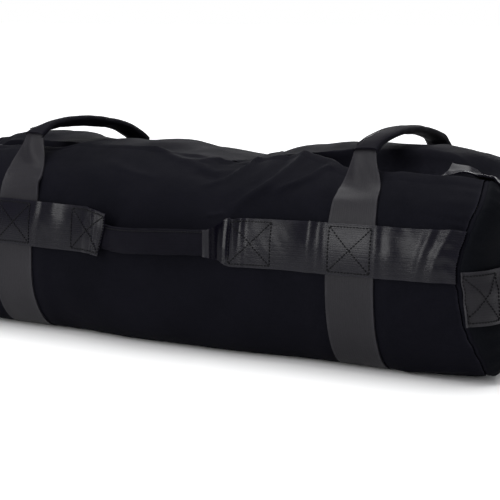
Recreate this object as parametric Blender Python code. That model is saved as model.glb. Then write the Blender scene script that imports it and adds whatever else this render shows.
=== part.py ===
# Training sandbag: a soft barrel-shaped shell that holds four sand-filled inner bags, with webbing
# girth straps and bands, two top handles, a front and a rear handle and a handle on each end.
# Metres. +X runs along the bag, the front faces -Y, +Z is up, and the bag lies on z = 0.

import math

import bmesh
import bpy
import numpy as np
from mathutils import Vector

# Shell
body_length = 0.628  # between the two end seams
body_width = 0.254
body_height = 0.208  # highest point of the top line
floor_flat_width = 0.150  # width of the flat that rests on the floor
widest_height = 0.097
fabric_thickness = 0.002
end_tuck_depth = 0.005  # how far the section draws in at an end seam
end_tuck_length = 0.060
end_bulge_depth = 0.028  # how far an end panel domes outwards
end_centre_height = 0.100
piping_radius = 0.0025
piping_depth = 0.001  # from the shell's outer face down to the middle of the piping
fit_gap = 0.0003

# Girth straps and side bands
webbing_width = 0.050
webbing_thickness = 0.0018
right_strap_inset = 0.1125  # middle of a girth strap, from the end seam
left_strap_inset = 0.1225  # the left strap stands a little nearer the middle
strap_clearance = 0.0006  # on each side of a strap where the shell is let in under it
recess_edge_width = 0.0005
band_height = 0.120  # middle of the front and rear band
hop_length = 0.006  # length over which a band climbs on to a girth strap

# Top handles
top_foot_distance = 0.078  # from the middle of the bag to a handle's end, along Y
top_foot_offset = 0.0108  # of the handle's end above the shell
top_clearance = 0.015  # under the sleeve, above the crown
folded_width = 0.024  # webbing folded lengthways inside a sleeve
folded_thickness = 0.0036
sleeve_width = 0.028
sleeve_thickness = 0.009
sleeve_clearance = 0.0009
top_sleeve_inset = 0.007  # webbing that shows between the handle's end and its sleeve

# Side handles
side_anchor_distance = 0.072  # inner edge of a sewn end, from the middle of the bag
side_foot_distance = 0.064  # end of the loose webbing
side_foot_offset = 0.0070
side_middle_offset = 0.017
side_sleeve_length = 0.104
front_sleeve_offset = 0.009  # the front sleeve has slid this far to the left along its webbing
side_hinge_offset = 0.001

# End handles
end_handle_height = 0.080
end_anchor_outer_distance = 0.106  # outer edge of a sewn end
end_anchor_distance = 0.060
end_foot_distance = 0.052
end_foot_offset = 0.0070
end_middle_offset = 0.017
end_sleeve_length = 0.092
end_hinge_offset = 0.001

# Zip, in a level trough in front of the crown
zip_distance = 0.050  # in front of the middle line
zip_height = 0.178
zip_end_inset = 0.058  # from the end seam
zip_slot_width = 0.014  # between the two edges of the shell
trough_floor_width = 0.026
trough_width = 0.064
trough_end_inset = 0.050  # from the end seam, where its floor starts to climb
trough_climb_length = 0.040
tape_width = 0.008
tape_thickness = 0.001
teeth_gap = 0.0022  # between the two rows, where the slider's wedge runs
teeth_width = 0.0022
teeth_height = 0.0026
slider_length = 0.015
slider_width = 0.0105
slider_plate_thickness = 0.0013
slider_wedge_width = 0.0014
slider_clearance = 0.0004
slider_start_inset = 0.036  # from the left end of the zip
ear_thickness = 0.0010
ear_height = 0.0034
ear_length = 0.0040
ear_spread_width = 0.0064
pin_radius = 0.0006
pull_length = 0.026
pull_width = 0.0075
pull_neck_width = 0.0036
pull_neck_length = 0.006
pull_thickness = 0.0015
pull_hole_radius = 0.0010
pull_eye_radius = 0.0018
stop_length = 0.004
placket_thickness = 0.0016

# Inner bags
filler_middle_gap = 0.010  # between the left and the right pair
filler_end_gap = 0.012
filler_skin_thickness = 0.0012
filler_closure_thickness = 0.0025
lower_filler_side_gap = 0.012
lower_filler_height = 0.094
upper_filler_side_gap = 0.016
upper_filler_height = 0.070
sand_clearance = 0.0006  # between the sand and the bag round it
sand_mouth_gap = 0.012

# Places along the half length, with the height of the top line there
crown_place_shares = (-1.0, -0.86, -0.64, -0.30, -0.08, 0.16, 0.32, 0.46, 0.84, 1.0)
crown_height_shares = (0.962, 0.968, 0.974, 0.974, 0.956, 0.924, 0.976, 1.0, 1.0, 0.985)
left_roundness = 3.0  # exponent of the upper curve at the left end and at the right end
right_roundness = 2.4
flat_share = 0.20  # of the half girth that is the floor flat
corner_share = 0.525  # of the half girth, up to the widest point
recess_fade_share = 0.36
# Girth shares where the section has a corner point. The straps and hems use the same ones.
girth_shares = (0.10, 0.13, 0.155, 0.18, 0.215, 0.25, 0.28, 0.31, 0.34, 0.37)
placket_girth_share = 0.40
rear_girth_shares = (0.40, 0.435, 0.47, 0.50)
trough_column_shares = (0.41, 0.69, 0.80, 1.0)  # of half the trough's width
tab_column_share = 0.69
tab_turn_shares = (0.06, 0.16, 0.29, 0.42)  # down the end panel, of the turn from rim to middle
panel_turn_shares = (0.0, 0.06, 0.16, 0.29, 0.42, 0.66, 0.98)
filler_roundness = 2.3
filler_profile_shares = (0.99, 0.93, 0.78, 0.40, 0.0, -0.55, -1.0)
filler_mouth_share = 0.12
sleeve_roundness = 3.0
hole_roundness = 8.0
arch_power = 3.0
dome_rim_power = 3.0
dome_depth_power = 1.6
probe_length = 0.0001
probe_share = 0.0002

front, rear = -1, 1
left, right = -1, 1
half_length = body_length / 2
strap_distances = {left: half_length - left_strap_inset, right: half_length - right_strap_inset}
zip_length = body_length - 2 * zip_end_inset
trough_end_distance = half_length - trough_end_inset
slider_start_distance = slider_start_inset - zip_length / 2
lower_filler_width = body_width - 2 * lower_filler_side_gap
upper_filler_width = body_width - 2 * upper_filler_side_gap
shell_end = half_length - piping_radius - fit_gap
panel_rim = half_length + piping_radius + fit_gap


def clear_scene():
    for old in list(bpy.data.objects):
        bpy.data.objects.remove(old, do_unlink=True)


def smooth(share):
    share = np.clip(share, 0, 1)
    return share * share * (3 - 2 * share)


def crown(x):
    """Height of the top line: eased steps between the named places."""
    share = np.clip(np.asarray(x, float) / half_length, -1, 1)
    places, heights = np.array(crown_place_shares), np.array(crown_height_shares)
    i = np.clip(np.searchsorted(places, share, side="right") - 1, 0, len(places) - 2)
    ease = smooth((share - places[i]) / (places[i + 1] - places[i]))
    return body_height * (heights[i] + (heights[i + 1] - heights[i]) * ease)


def section_sizes(x):
    """Half width, top, base and roundness of the cross-section at x."""
    near_end = (np.abs(x) - (half_length - end_tuck_length)) / end_tuck_length
    tuck = end_tuck_depth * np.clip(near_end, 0, 1) ** 2
    along = np.clip(np.asarray(x, float) / body_length + 0.5, 0, 1)
    roundness = left_roundness + (right_roundness - left_roundness) * along
    return body_width / 2 - tuck, crown(x) - tuck, tuck, roundness


def skin(x, girth):
    """Point of the shell's outer face. Girth is 0 at the middle of the floor flat, -0.5 at the top
    by way of the front and +0.5 at the top by way of the rear."""
    x, girth = np.broadcast_arrays(np.asarray(x, float), np.asarray(girth, float))
    girth = (girth + 0.5) % 1.0 - 0.5
    side, s = np.where(girth < 0, -1.0, 1.0), 2 * np.abs(girth)
    wide, top, base, roundness = section_sizes(x)
    flat = floor_flat_width / 2
    corner = np.clip((s - flat_share) / (corner_share - flat_share), 0, 1) * math.pi / 2
    upper = np.clip((s - corner_share) / (1 - corner_share), 0, 1) * math.pi / 2
    across = flat * np.clip(s / flat_share, 0, 1) + (wide - flat) * np.sin(corner)
    arch = np.abs(np.cos(upper)) ** (2 / roundness)
    across = np.where(s > corner_share, wide * arch, across)
    lower_z = base + (widest_height - base) * (1 - np.cos(corner))
    upper_z = (top - widest_height) * np.sin(upper) ** (2 / roundness)
    y, z = side * across, lower_z + upper_z
    from_zip = np.abs(y + zip_distance)
    level = smooth((trough_width / 2 - from_zip) / (trough_width / 2 - trough_floor_width / 2))
    level = level * smooth(1 - (np.abs(x) - trough_end_distance) / trough_climb_length)
    level = np.where(s > corner_share, level, 0.0)
    return np.stack([x, y, z + (zip_height - z) * level], axis=-1)


def skin_normal(x, girth):
    along = skin(x + probe_length, girth) - skin(x - probe_length, girth)
    around = skin(x, girth + probe_share) - skin(x, girth - probe_share)
    normal = np.cross(around, along)
    return normal / np.linalg.norm(normal, axis=-1, keepdims=True)


def girth_at_y(x, y):
    """Girth share of a place on the upper half, from its y."""
    wide, _, _, roundness = section_sizes(x)
    upper = np.arccos(np.clip(np.abs(y) / wide, 0, 1) ** (roundness / 2))
    s = corner_share + upper / (math.pi / 2) * (1 - corner_share)
    return np.where(np.asarray(y) < 0, -s / 2, s / 2)


def girth_at_z(x, z, side):
    """Girth share of a place on the front or the rear, from its height."""
    _, top, base, roundness = section_sizes(x)
    up = np.clip((z - widest_height) / (top - widest_height), 0, 1) ** (roundness / 2)
    down = np.clip(1 - (z - base) / (widest_height - base), 0, 1)
    upper = corner_share + np.arcsin(up) / (math.pi / 2) * (1 - corner_share)
    lower = flat_share + np.arccos(down) / (math.pi / 2) * (corner_share - flat_share)
    return side * np.where(z > widest_height, upper, lower) / 2


def recess_depth(girth):
    """How deep the shell is let in under a girth strap: full on the floor flat, none on the sides."""
    s = 2 * np.abs((np.asarray(girth) + 0.5) % 1.0 - 0.5)
    fade = smooth((recess_fade_share - s) / (recess_fade_share - flat_share))
    return (webbing_thickness + fit_gap) * fade


def off_strap(x):
    """Distance from the recess of the nearer girth strap, below zero over the strap."""
    distance = np.where(np.asarray(x) < 0, strap_distances[left], strap_distances[right])
    return np.abs(np.abs(x) - distance) - webbing_width / 2 - strap_clearance


def strap_hop(x):
    """How far a band stands off where it passes over a girth strap."""
    off = off_strap(x)
    return (webbing_thickness + fit_gap) * smooth(1 - off / hop_length)


def end_outline(side, girth):
    return skin(side * half_length, girth)[..., 1:]


def dome(side, turn, girth, lift=0.0):
    """Point of an end panel's outer face: turn 0 at the rim, pi/2 at the middle."""
    outline = end_outline(side, girth)
    middle = np.array([0.0, end_centre_height])
    reach = np.abs(np.cos(turn)) ** (2 / dome_rim_power)
    depth = end_bulge_depth * np.abs(np.sin(turn)) ** (2 / dome_depth_power)
    yz = middle + (outline - middle) * reach[..., None]
    x = np.broadcast_to(side * (panel_rim + depth + lift), yz[..., 0].shape)
    return np.concatenate([x[..., None], yz], axis=-1)


def dome_normal(side, turn, girth):
    low, high = np.clip(turn - probe_share, 0, None), turn + probe_share
    inwards = dome(side, high, girth) - dome(side, low, girth)
    around = dome(side, turn, girth + probe_share) - dome(side, turn, girth - probe_share)
    normal = np.cross(around, inwards) * side
    return normal / np.linalg.norm(normal, axis=-1, keepdims=True)


def end_face(side, y, z):
    """Point of an end panel's outer face, from its y and z."""
    outline = end_outline(side, np.linspace(-0.5, 0.5, 721))
    angles = np.arctan2(outline[:, 0], end_centre_height - outline[:, 1])
    radii = np.hypot(outline[:, 0], outline[:, 1] - end_centre_height)
    order = np.argsort(angles)
    turn = np.arctan2(y, end_centre_height - z)
    radius = np.interp(turn, angles[order], radii[order], period=2 * math.pi)
    share = np.clip(np.hypot(y, z - end_centre_height) / radius, 0, 1)
    depth = end_bulge_depth * (1 - share**dome_rim_power) ** (1 / dome_depth_power)
    return np.stack([side * (panel_rim + depth), y + 0 * z, z + 0 * y], axis=-1)


def end_face_normal(side, y, z):
    across = end_face(side, y + probe_length, z) - end_face(side, y - probe_length, z)
    upwards = end_face(side, y, z + probe_length) - end_face(side, y, z - probe_length)
    normal = np.cross(across, upwards) * side
    return normal / np.linalg.norm(normal, axis=-1, keepdims=True)


def material(name, colour, roughness, metallic=0.0):
    made = bpy.data.materials.new(name)
    made.use_nodes = True
    shader = made.node_tree.nodes["Principled BSDF"]
    shader.inputs["Base Color"].default_value = (*colour, 1.0)
    shader.inputs["Roughness"].default_value = roughness
    shader.inputs["Metallic"].default_value = metallic
    return made


fabric_black = material("fabric_black", (0.010, 0.010, 0.014), 0.85)
webbing_grey = material("webbing_grey", (0.055, 0.054, 0.058), 0.55)
webbing_dark = material("webbing_dark", (0.038, 0.038, 0.050), 0.45)
sleeve_black = material("sleeve_black", (0.012, 0.012, 0.017), 0.80)
zip_black = material("zip_black", (0.015, 0.015, 0.018), 0.50)
zip_metal = material("zip_metal", (0.10, 0.10, 0.11), 0.35, 1.0)
liner_grey = material("liner_grey", (0.12, 0.12, 0.13), 0.80)
sand_tan = material("sand_tan", (0.45, 0.36, 0.24), 0.95)


def add_object(name, points, faces, look, parent=None):
    """One named object from points in world space. A moving piece keeps its origin on its parent."""
    pivot = Vector(parent.location) if parent else Vector((0, 0, 0))
    mesh = bpy.data.meshes.new(name)
    mesh.from_pydata([Vector(p) - pivot for p in points], [], faces)
    shell = bmesh.new()
    shell.from_mesh(mesh)
    bmesh.ops.recalc_face_normals(shell, faces=shell.faces)
    shell.to_mesh(mesh)
    shell.free()
    mesh.shade_smooth()
    mesh.set_sharp_from_angle(angle=math.radians(40))
    mesh.materials.append(look)
    made = bpy.data.objects.new(name, mesh)
    bpy.context.scene.collection.objects.link(made)
    made.parent = parent
    return made


def grid_faces(rows, columns, first=0, wrap=False):
    """Quads between neighbouring rows of a grid of points."""
    last = columns if wrap else columns - 1
    found = []
    for i in range(rows - 1):
        for j in range(last):
            a, b = i * columns + j, i * columns + (j + 1) % columns
            found.append((first + a, first + b, first + b + columns, first + a + columns))
    return found


def slab(name, outer, inner, look, parent=None):
    """Closed body between two grids of points that face each other."""
    rows, columns = outer.shape[:2]
    total = rows * columns
    index = np.arange(total).reshape(rows, columns)
    border = [*index[0], *index[1:, -1], *index[-1, -2::-1], *index[-2:0:-1, 0]]
    faces = grid_faces(rows, columns) + grid_faces(rows, columns, total)
    for a, b in zip(border, border[1:] + border[:1]):
        faces.append((int(a), int(b), int(b) + total, int(a) + total))
    points = np.concatenate([outer.reshape(-1, 3), inner.reshape(-1, 3)])
    return add_object(name, points, faces, look, parent)


def loft(name, rings, look, parent=None, closed=False):
    """Body through rings of points, capped at both ends or joined end to start."""
    rings = np.asarray(rings)
    rows, columns = rings.shape[:2]
    faces = grid_faces(rows, columns, wrap=True)
    if closed:
        last = (rows - 1) * columns
        for j in range(columns):
            k = (j + 1) % columns
            faces.append((last + j, last + k, k, j))
    else:
        faces.append(tuple(range(columns)))
        faces.append(tuple(range((rows - 1) * columns, rows * columns)))
    return add_object(name, rings.reshape(-1, 3), faces, look, parent)


def on_skin(x, girth, lift):
    return skin(x, girth) + skin_normal(x, girth) * np.asarray(lift)[..., None]


def oval(half_wide, half_thick, roundness, count=12):
    """Closed outline of a rounded bar, as two arrays."""
    angle = np.arange(count) * 2 * math.pi / count
    c, s = np.cos(angle), np.sin(angle)
    return (
        half_wide * np.sign(c) * np.abs(c) ** (2 / roundness),
        half_thick * np.sign(s) * np.abs(s) ** (2 / roundness),
    )


def bar_rings(centres, wide_axis, thick_axis, outline, thick_scale=None):
    """Rings of one outline carried along a line, each in the plane of the two axes."""
    wide, thick = outline
    scale = np.ones(len(centres)) if thick_scale is None else thick_scale
    across = wide[None, :, None] * np.asarray(wide_axis)[None, None, :]
    through = (thick[None, :] * scale[:, None])[..., None] * np.asarray(thick_axis)
    return centres[:, None, :] + across + through


def flat_outline(half_wide, half_thick):
    return (
        np.array([half_wide, -half_wide, -half_wide, half_wide]),
        np.array([half_thick, half_thick, -half_thick, -half_thick]),
    )


def hinge(name, place):
    """Empty that carries a moving group, on its joint's axis."""
    made = bpy.data.objects.new(name, None)
    made.empty_display_size = webbing_width
    made.location = place
    bpy.context.scene.collection.objects.link(made)
    return made


def side_name(side):
    return "left" if side == left else "right"


def along_shell():
    """Stations along the shell, with close pairs at the edges of the recesses under the straps."""
    halves = {}
    for side, distance in strap_distances.items():
        inner = distance - webbing_width / 2 - strap_clearance
        outer = distance + webbing_width / 2 + strap_clearance
        half = [*np.linspace(0, inner - recess_edge_width, 6), inner, distance, outer]
        half += [*np.linspace(outer + recess_edge_width, trough_end_distance, 3)]
        halves[side] = [*half, *end_stations()[1:]]
    return np.array([-x for x in halves[left][:0:-1]] + halves[right])


def end_stations():
    """Stations over the trough's end, from the end of the zip to the end of the shell."""
    return [*np.linspace(trough_end_distance, trough_end_distance + trough_climb_length, 5), shell_end]


def zip_columns(x, direction):
    """Girth shares of the points between the slot and one edge of the trough, from the slot out."""
    offsets = np.array([zip_slot_width, *(np.array(trough_column_shares) * trough_width)]) / 2
    return girth_at_y(x, -zip_distance + direction * offsets[None, :])


def make_shell():
    x = along_shell()[:, None]
    fixed = [-placket_girth_share, *(-np.array(girth_shares[::-1])), *girth_shares]
    fixed = np.array([*fixed, *rear_girth_shares])[None, :] + 0 * x
    girth = np.concatenate([zip_columns(x, -1), fixed, 1 + zip_columns(x, 1)[:, ::-1]], axis=1)
    depth = np.where(off_strap(x) < recess_edge_width / 2, recess_depth(girth), 0.0)
    outer = on_skin(x, girth, -depth)
    inner = on_skin(x, girth, -depth - fabric_thickness)
    slab("bag_body", outer, inner, fabric_black)


def make_end_panel(side):
    turn = np.array(panel_turn_shares)[:, None] * math.pi / 2
    girth = np.linspace(-0.5, 0.5, 33)[None, :-1]
    normal = dome_normal(side, turn + probe_share, girth)
    outer = dome(side, turn, girth)
    inner = outer - normal * fabric_thickness
    inner[0, :, 0] = outer[0, :, 0]
    rings = np.concatenate([outer[::-1], inner])
    loft(f"end_panel_{side_name(side)}", rings, fabric_black)


def make_piping(side):
    girth = np.linspace(-0.5, 0.5, 41)[:-1]
    x = np.full(len(girth), side * half_length)
    centre = on_skin(x, girth, np.full(len(girth), -piping_depth))
    outwards = skin_normal(x, girth)
    outwards[:, 0] = 0
    outwards /= np.linalg.norm(outwards, axis=1, keepdims=True)
    centre[:, 0] = side * half_length
    angle = np.arange(6) * math.pi / 3
    lift = piping_radius * np.cos(angle)[None, :, None] * outwards[:, None, :]
    along = piping_radius * np.sin(angle)[None, :, None] * np.array([1.0, 0.0, 0.0])
    rings = centre[:, None, :] + lift + along
    loft(f"end_piping_{side_name(side)}", rings, fabric_black, closed=True)


def top_foot_height(place):
    """Height of a top handle's two ends, worked out from the shell below them."""
    below = skin(place, girth_at_y(place, top_foot_distance))[2]
    return float(below) + top_foot_offset


def make_girth_strap(side):
    """Webbing round the bag, from one end of the top handle under the bag to the other."""
    place = side * strap_distances[side]
    x = place + np.array([-1.0, 0.0, 1.0]) * webbing_width / 2
    girth = np.array([*(-np.array(girth_shares[::-1])), *girth_shares])[:, None]
    low = fit_gap - recess_depth(girth)
    inner = on_skin(x[None, :], girth, low)
    outer = on_skin(x[None, :], girth, low + webbing_thickness)
    foot = top_foot_height(place)
    for end, keep in ((front, 0), (rear, -1)):
        base, base_out = inner[keep, 1], outer[keep, 1]
        steps = np.linspace(0.25, 1, 4)
        foot_y = end * (top_foot_distance + fit_gap)
        rise, run = foot - base[2], foot_y - base[1]
        slant = math.hypot(rise, run) / abs(run)
        up = np.array([0, 0, webbing_thickness * slant])
        low_rows, high_rows = [], []
        for step in steps:
            line = base + np.array([0, run, rise]) * step
            off = (base_out - base) * (1 - step) + up * step
            narrow = webbing_width + (folded_width - webbing_width) * smooth(step)
            edge = np.array([-1, 0, 1])[:, None] * np.array([narrow / 2, 0, 0])
            low_rows.append(line * [0, 1, 1] + [place, 0, 0] + edge - up * step / 2)
            high_rows.append(low_rows[-1] + off)
        low_rows, high_rows = np.array(low_rows), np.array(high_rows)
        if end == front:
            inner = np.concatenate([low_rows[::-1], inner])
            outer = np.concatenate([high_rows[::-1], outer])
        else:
            inner = np.concatenate([inner, low_rows])
            outer = np.concatenate([outer, high_rows])
    slab(f"girth_strap_{side_name(side)}", outer, inner, webbing_grey)


def make_top_handle(side):
    """Arch of folded webbing in a padded sleeve, from foot to foot over the crown."""
    place, name = side * strap_distances[side], side_name(side)
    foot = top_foot_height(place)
    rise = float(crown(place)) + top_clearance + sleeve_thickness / 2 - foot
    parent = hinge(f"hinge_top_{name}", (place, 0, foot))

    def arch(reach, count):
        y = np.linspace(-reach, reach, count)
        share = np.abs(y) / top_foot_distance
        z = foot + rise * (1 - share**arch_power)
        slope = rise * arch_power * share ** (arch_power - 1) / top_foot_distance
        return np.stack([np.full(count, place), y, z], axis=1), np.hypot(1, slope)

    sideways, upwards = np.array([1.0, 0, 0]), np.array([0, 0, 1.0])
    centres, slant = arch(top_foot_distance, 17)
    strip = flat_outline(folded_width / 2, folded_thickness / 2)
    rings = bar_rings(centres, sideways, upwards, strip, slant)
    loft(f"top_handle_webbing_{name}", rings, webbing_grey, parent)
    centres, slant = arch(top_foot_distance - top_sleeve_inset, 15)
    outer = oval(sleeve_width / 2, sleeve_thickness / 2, sleeve_roundness)
    hole = oval(
        folded_width / 2 + sleeve_clearance, folded_thickness / 2 + sleeve_clearance, hole_roundness
    )
    rings = np.concatenate([
        bar_rings(centres, sideways, upwards, outer, slant),
        bar_rings(centres, sideways, upwards, hole, slant)[::-1],
    ])
    loft(f"top_handle_sleeve_{name}", rings, sleeve_black, parent, closed=True)


def lift_along(place, foot_place, foot_lift, mid_lift):
    share = np.clip(np.abs(place) / foot_place, 0, 1)
    return foot_lift + (mid_lift - foot_lift) * (1 - share**arch_power)


def anchor_rows(places, foot_place, anchor_place, foot_lift, face, face_normal, out, extra):
    """Sewn webbing that narrows and lifts off towards the loose handle: its outer and inner grid."""
    share = smooth((anchor_place - places) / (anchor_place - foot_place))[:, None]
    narrow = 1 + (folded_width / webbing_width - 1) * share
    across = np.linspace(-0.5, 0.5, 5)[None, :] * webbing_width * narrow
    base, normal = face(places[:, None], across), face_normal(places[:, None], across)
    normal = normal * (1 - share[..., None]) + out * share[..., None]
    off = np.asarray(out) * (foot_lift * share)[..., None]
    low = (fit_gap + extra(places))[:, None] - share * (fit_gap + folded_thickness / 2)
    thick = webbing_thickness + (folded_thickness - webbing_thickness) * share
    inner = base + off + normal * np.asarray(low)[..., None]
    return inner + normal * thick[..., None], inner


def make_loose_handle(name, foot_place, sleeve_ends, foot_lift, mid_lift, face, out, parent):
    """Loose webbing and its sleeve. Rings stand square to the line through the handle's ends."""
    upwards = np.array([0, 0, 1.0])

    def line(start, end, count):
        place = np.linspace(start, end, count)
        lift = lift_along(place, foot_place, foot_lift, mid_lift)
        return face(place, np.zeros(count)) + np.asarray(out) * lift[:, None]

    strip = flat_outline(folded_width / 2, folded_thickness / 2)
    end = foot_place - fit_gap
    rings = bar_rings(line(-end, end, 13), upwards, out, strip)
    loft(f"{name}_webbing", rings, webbing_dark, parent)
    outer = oval(sleeve_width / 2, sleeve_thickness / 2, sleeve_roundness)
    hole = oval(
        folded_width / 2 + sleeve_clearance, folded_thickness / 2 + sleeve_clearance, hole_roundness
    )
    centres = line(*sleeve_ends, 11)
    rings = np.concatenate([
        bar_rings(centres, upwards, out, outer), bar_rings(centres, upwards, out, hole)[::-1]
    ])
    loft(f"{name}_sleeve", rings, sleeve_black, parent, closed=True)


def make_side(side):
    """Band in two lengths along the front or the rear, with the handle between them."""
    name = "front" if side == front else "rear"
    out = np.array([0, float(side), 0])
    for end in (left, right):

        def face(place, across, end=end):
            return skin(end * place, girth_at_z(end * place, band_height + across, side))

        def face_normal(place, across, end=end):
            return skin_normal(end * place, girth_at_z(end * place, band_height + across, side))

        def hop(place, end=end):
            return strap_hop(end * place)

        over = strap_distances[end] + webbing_width / 2 + strap_clearance
        under = strap_distances[end] - webbing_width / 2 - strap_clearance
        places = np.concatenate([
            np.linspace(side_foot_distance, side_anchor_distance, 5),
            np.linspace(side_anchor_distance, under - hop_length, 5)[1:],
            np.linspace(under - hop_length, under, 4)[1:],
            np.linspace(under, over, 4)[1:],
            np.linspace(over, over + hop_length, 4)[1:],
            np.linspace(over + recess_edge_width, trough_end_distance, 3)[1:2],
            end_stations(),
        ])
        outer, inner = anchor_rows(
            places, side_foot_distance, side_anchor_distance, side_foot_offset,
            face, face_normal, out, hop,
        )
        slab(f"{name}_band_{side_name(end)}", outer, inner, webbing_dark)

    def middle_face(place, across):
        return skin(place, girth_at_z(place, band_height + across, side))

    surface = float(middle_face(0.0, 0.0)[1])
    parent = hinge(f"hinge_{name}", (0, surface + side * side_hinge_offset, band_height))
    shift = front_sleeve_offset if side == front else 0
    sleeve_ends = (-side_sleeve_length / 2 - shift, side_sleeve_length / 2 - shift)
    make_loose_handle(
        f"{name}_handle", side_foot_distance, sleeve_ends, side_foot_offset, side_middle_offset,
        middle_face, out, parent,
    )


def make_end_handle(side):
    """Two sewn webbing ends on an end panel, with the handle between them."""
    name = side_name(side)
    out = np.array([float(side), 0, 0])
    for end in (front, rear):

        def face(place, across, end=end):
            return end_face(side, end * place, end_handle_height + across)

        def face_normal(place, across, end=end):
            return end_face_normal(side, end * place, end_handle_height + across)

        places = np.concatenate([
            np.linspace(end_foot_distance, end_anchor_distance, 5),
            np.linspace(end_anchor_distance, end_anchor_outer_distance, 8)[1:],
        ])
        outer, inner = anchor_rows(
            places, end_foot_distance, end_anchor_distance, end_foot_offset,
            face, face_normal, out, np.zeros_like,
        )
        where = "front" if end == front else "rear"
        slab(f"end_anchor_{name}_{where}", outer, inner, webbing_grey)

    def middle_face(place, across):
        return end_face(side, place, end_handle_height + across)

    surface = float(middle_face(0.0, 0.0)[0])
    parent = hinge(f"hinge_end_{name}", (surface + side * end_hinge_offset, 0, end_handle_height))
    sleeve_ends = (-end_sleeve_length / 2, end_sleeve_length / 2)
    make_loose_handle(
        f"end_handle_{name}", end_foot_distance, sleeve_ends, end_foot_offset, end_middle_offset,
        middle_face, out, parent,
    )


def make_zip():
    """Two tapes under the shell's edges, with a row of teeth on each and a stop at both ends."""
    half = zip_length / 2
    tape_top = zip_height - fabric_thickness - fit_gap
    teeth_middle = tape_top - tape_thickness / 2
    for name, direction in (("front", -1), ("rear", 1)):
        near = teeth_gap / 2 + teeth_width + fit_gap
        x = np.array([-half, half])[:, None]
        y = -zip_distance + direction * np.array([near, near + tape_width])[None, :]
        top = np.stack([x + 0 * y, y + 0 * x, np.full((2, 2), tape_top)], axis=-1)
        slab(f"zip_tape_{name}", top, top - [0, 0, tape_thickness], zip_black)
        middle = -zip_distance + direction * (teeth_gap + teeth_width) / 2
        centres = np.array([[-half, middle, teeth_middle], [half, middle, teeth_middle]])
        outline = flat_outline(teeth_width / 2, teeth_height / 2)
        rings = bar_rings(centres, np.array([0, 1.0, 0]), np.array([0, 0, 1.0]), outline)
        loft(f"zip_teeth_{name}", rings, zip_black)
    for side in (left, right):
        ends = side * (half + fit_gap + np.array([0, stop_length]))
        centres = np.array([[x, -zip_distance, teeth_middle] for x in ends])
        outline = flat_outline(teeth_gap / 2 + teeth_width, teeth_height / 2)
        rings = bar_rings(centres, np.array([0, 1.0, 0]), np.array([0, 0, 1.0]), outline)
        loft(f"zip_stop_{side_name(side)}", rings, zip_metal)
    return teeth_middle


def box(name, low, high, look, parent=None):
    ys, zs = np.array([low[1], high[1]]), np.array([low[2], high[2]])
    ring = [[ys[0], zs[0]], [ys[1], zs[0]], [ys[1], zs[1]], [ys[0], zs[1]]]
    rings = [[[x, y, z] for y, z in ring] for x in (low[0], high[0])]
    return loft(name, rings, look, parent)


def rod(name, centre, radius, length, look, parent=None):
    """Round bar along Y."""
    angle = np.arange(16) * math.pi / 8
    rings = [
        np.stack([
            centre[0] + radius * np.cos(angle),
            np.full(16, centre[1] + end * length / 2),
            centre[2] + radius * np.sin(angle),
        ], axis=1)
        for end in (-1, 1)
    ]
    return loft(name, rings, look, parent)


def combine(target, other, operation):
    change = target.modifiers.new(operation.lower(), "BOOLEAN")
    change.operation = operation
    change.object = other
    other.hide_render = True
    other.display_type = "WIRE"


def make_slider(teeth_middle):
    """Slider of two plates joined by a wedge, with two ears and a pin that carry the pull."""
    inner = teeth_height / 2 + slider_clearance
    top = inner + slider_plate_thickness
    parent = hinge("slide_zip", (slider_start_distance, -zip_distance, teeth_middle))
    half_plate, half_wedge = slider_width / 2, slider_wedge_width / 2
    outline = np.array([
        [-half_plate, -top], [half_plate, -top], [half_plate, -inner], [half_wedge, -inner],
        [half_wedge, inner], [half_plate, inner], [half_plate, top], [-half_plate, top],
        [-half_plate, inner], [-half_wedge, inner], [-half_wedge, -inner], [-half_plate, -inner],
    ])
    centre = np.array([-zip_distance, teeth_middle])
    ring = centre + outline
    ends = (slider_start_distance - slider_length / 2, slider_start_distance + slider_length / 2)
    rings = [np.insert(ring, 0, x, axis=1) for x in ends]
    slider = loft("zip_slider", rings, zip_metal, parent)
    ear_base = teeth_middle + top - slider_plate_thickness / 2
    pin_height = teeth_middle + top + ear_height - pull_eye_radius + pin_radius
    for direction in (-1, 1):
        y = -zip_distance + direction * (ear_spread_width - ear_thickness) / 2
        low = (slider_start_distance - ear_length / 2, y - ear_thickness / 2, ear_base)
        high = (slider_start_distance + ear_length / 2, y + ear_thickness / 2,
                teeth_middle + top + ear_height)
        name = "ear_front" if direction < 0 else "ear_rear"
        combine(slider, box(name, low, high, zip_metal, parent), "UNION")
    pin_centre = (slider_start_distance, -zip_distance, pin_height)
    pin = rod("pin", pin_centre, pin_radius, ear_spread_width - ear_thickness, zip_metal, parent)
    combine(slider, pin, "UNION")
    turn = hinge("hinge_pull", pin_centre)
    low = (slider_start_distance - pull_neck_length, -zip_distance - pull_neck_width / 2,
           pin_height - pull_thickness / 2)
    high = (slider_start_distance, -zip_distance + pull_neck_width / 2, pin_height + pull_thickness / 2)
    neck = box("pull_neck", low, high, zip_metal, turn)
    low = (slider_start_distance - pull_length, -zip_distance - pull_width / 2,
           pin_height - pull_thickness / 2)
    high = (slider_start_distance - pull_neck_length + pull_eye_radius / 2,
            -zip_distance + pull_width / 2, pin_height + pull_thickness / 2)
    blade = box("pull_blade", low, high, zip_metal, turn)
    pull = rod("zip_pull", pin_centre, pull_eye_radius, pull_neck_width, zip_metal, turn)
    hole = rod("pull_hole", pin_centre, pull_hole_radius, 2 * pull_neck_width, zip_metal, turn)
    combine(pull, neck, "UNION")
    combine(pull, blade, "UNION")
    combine(pull, hole, "DIFFERENCE")


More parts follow.
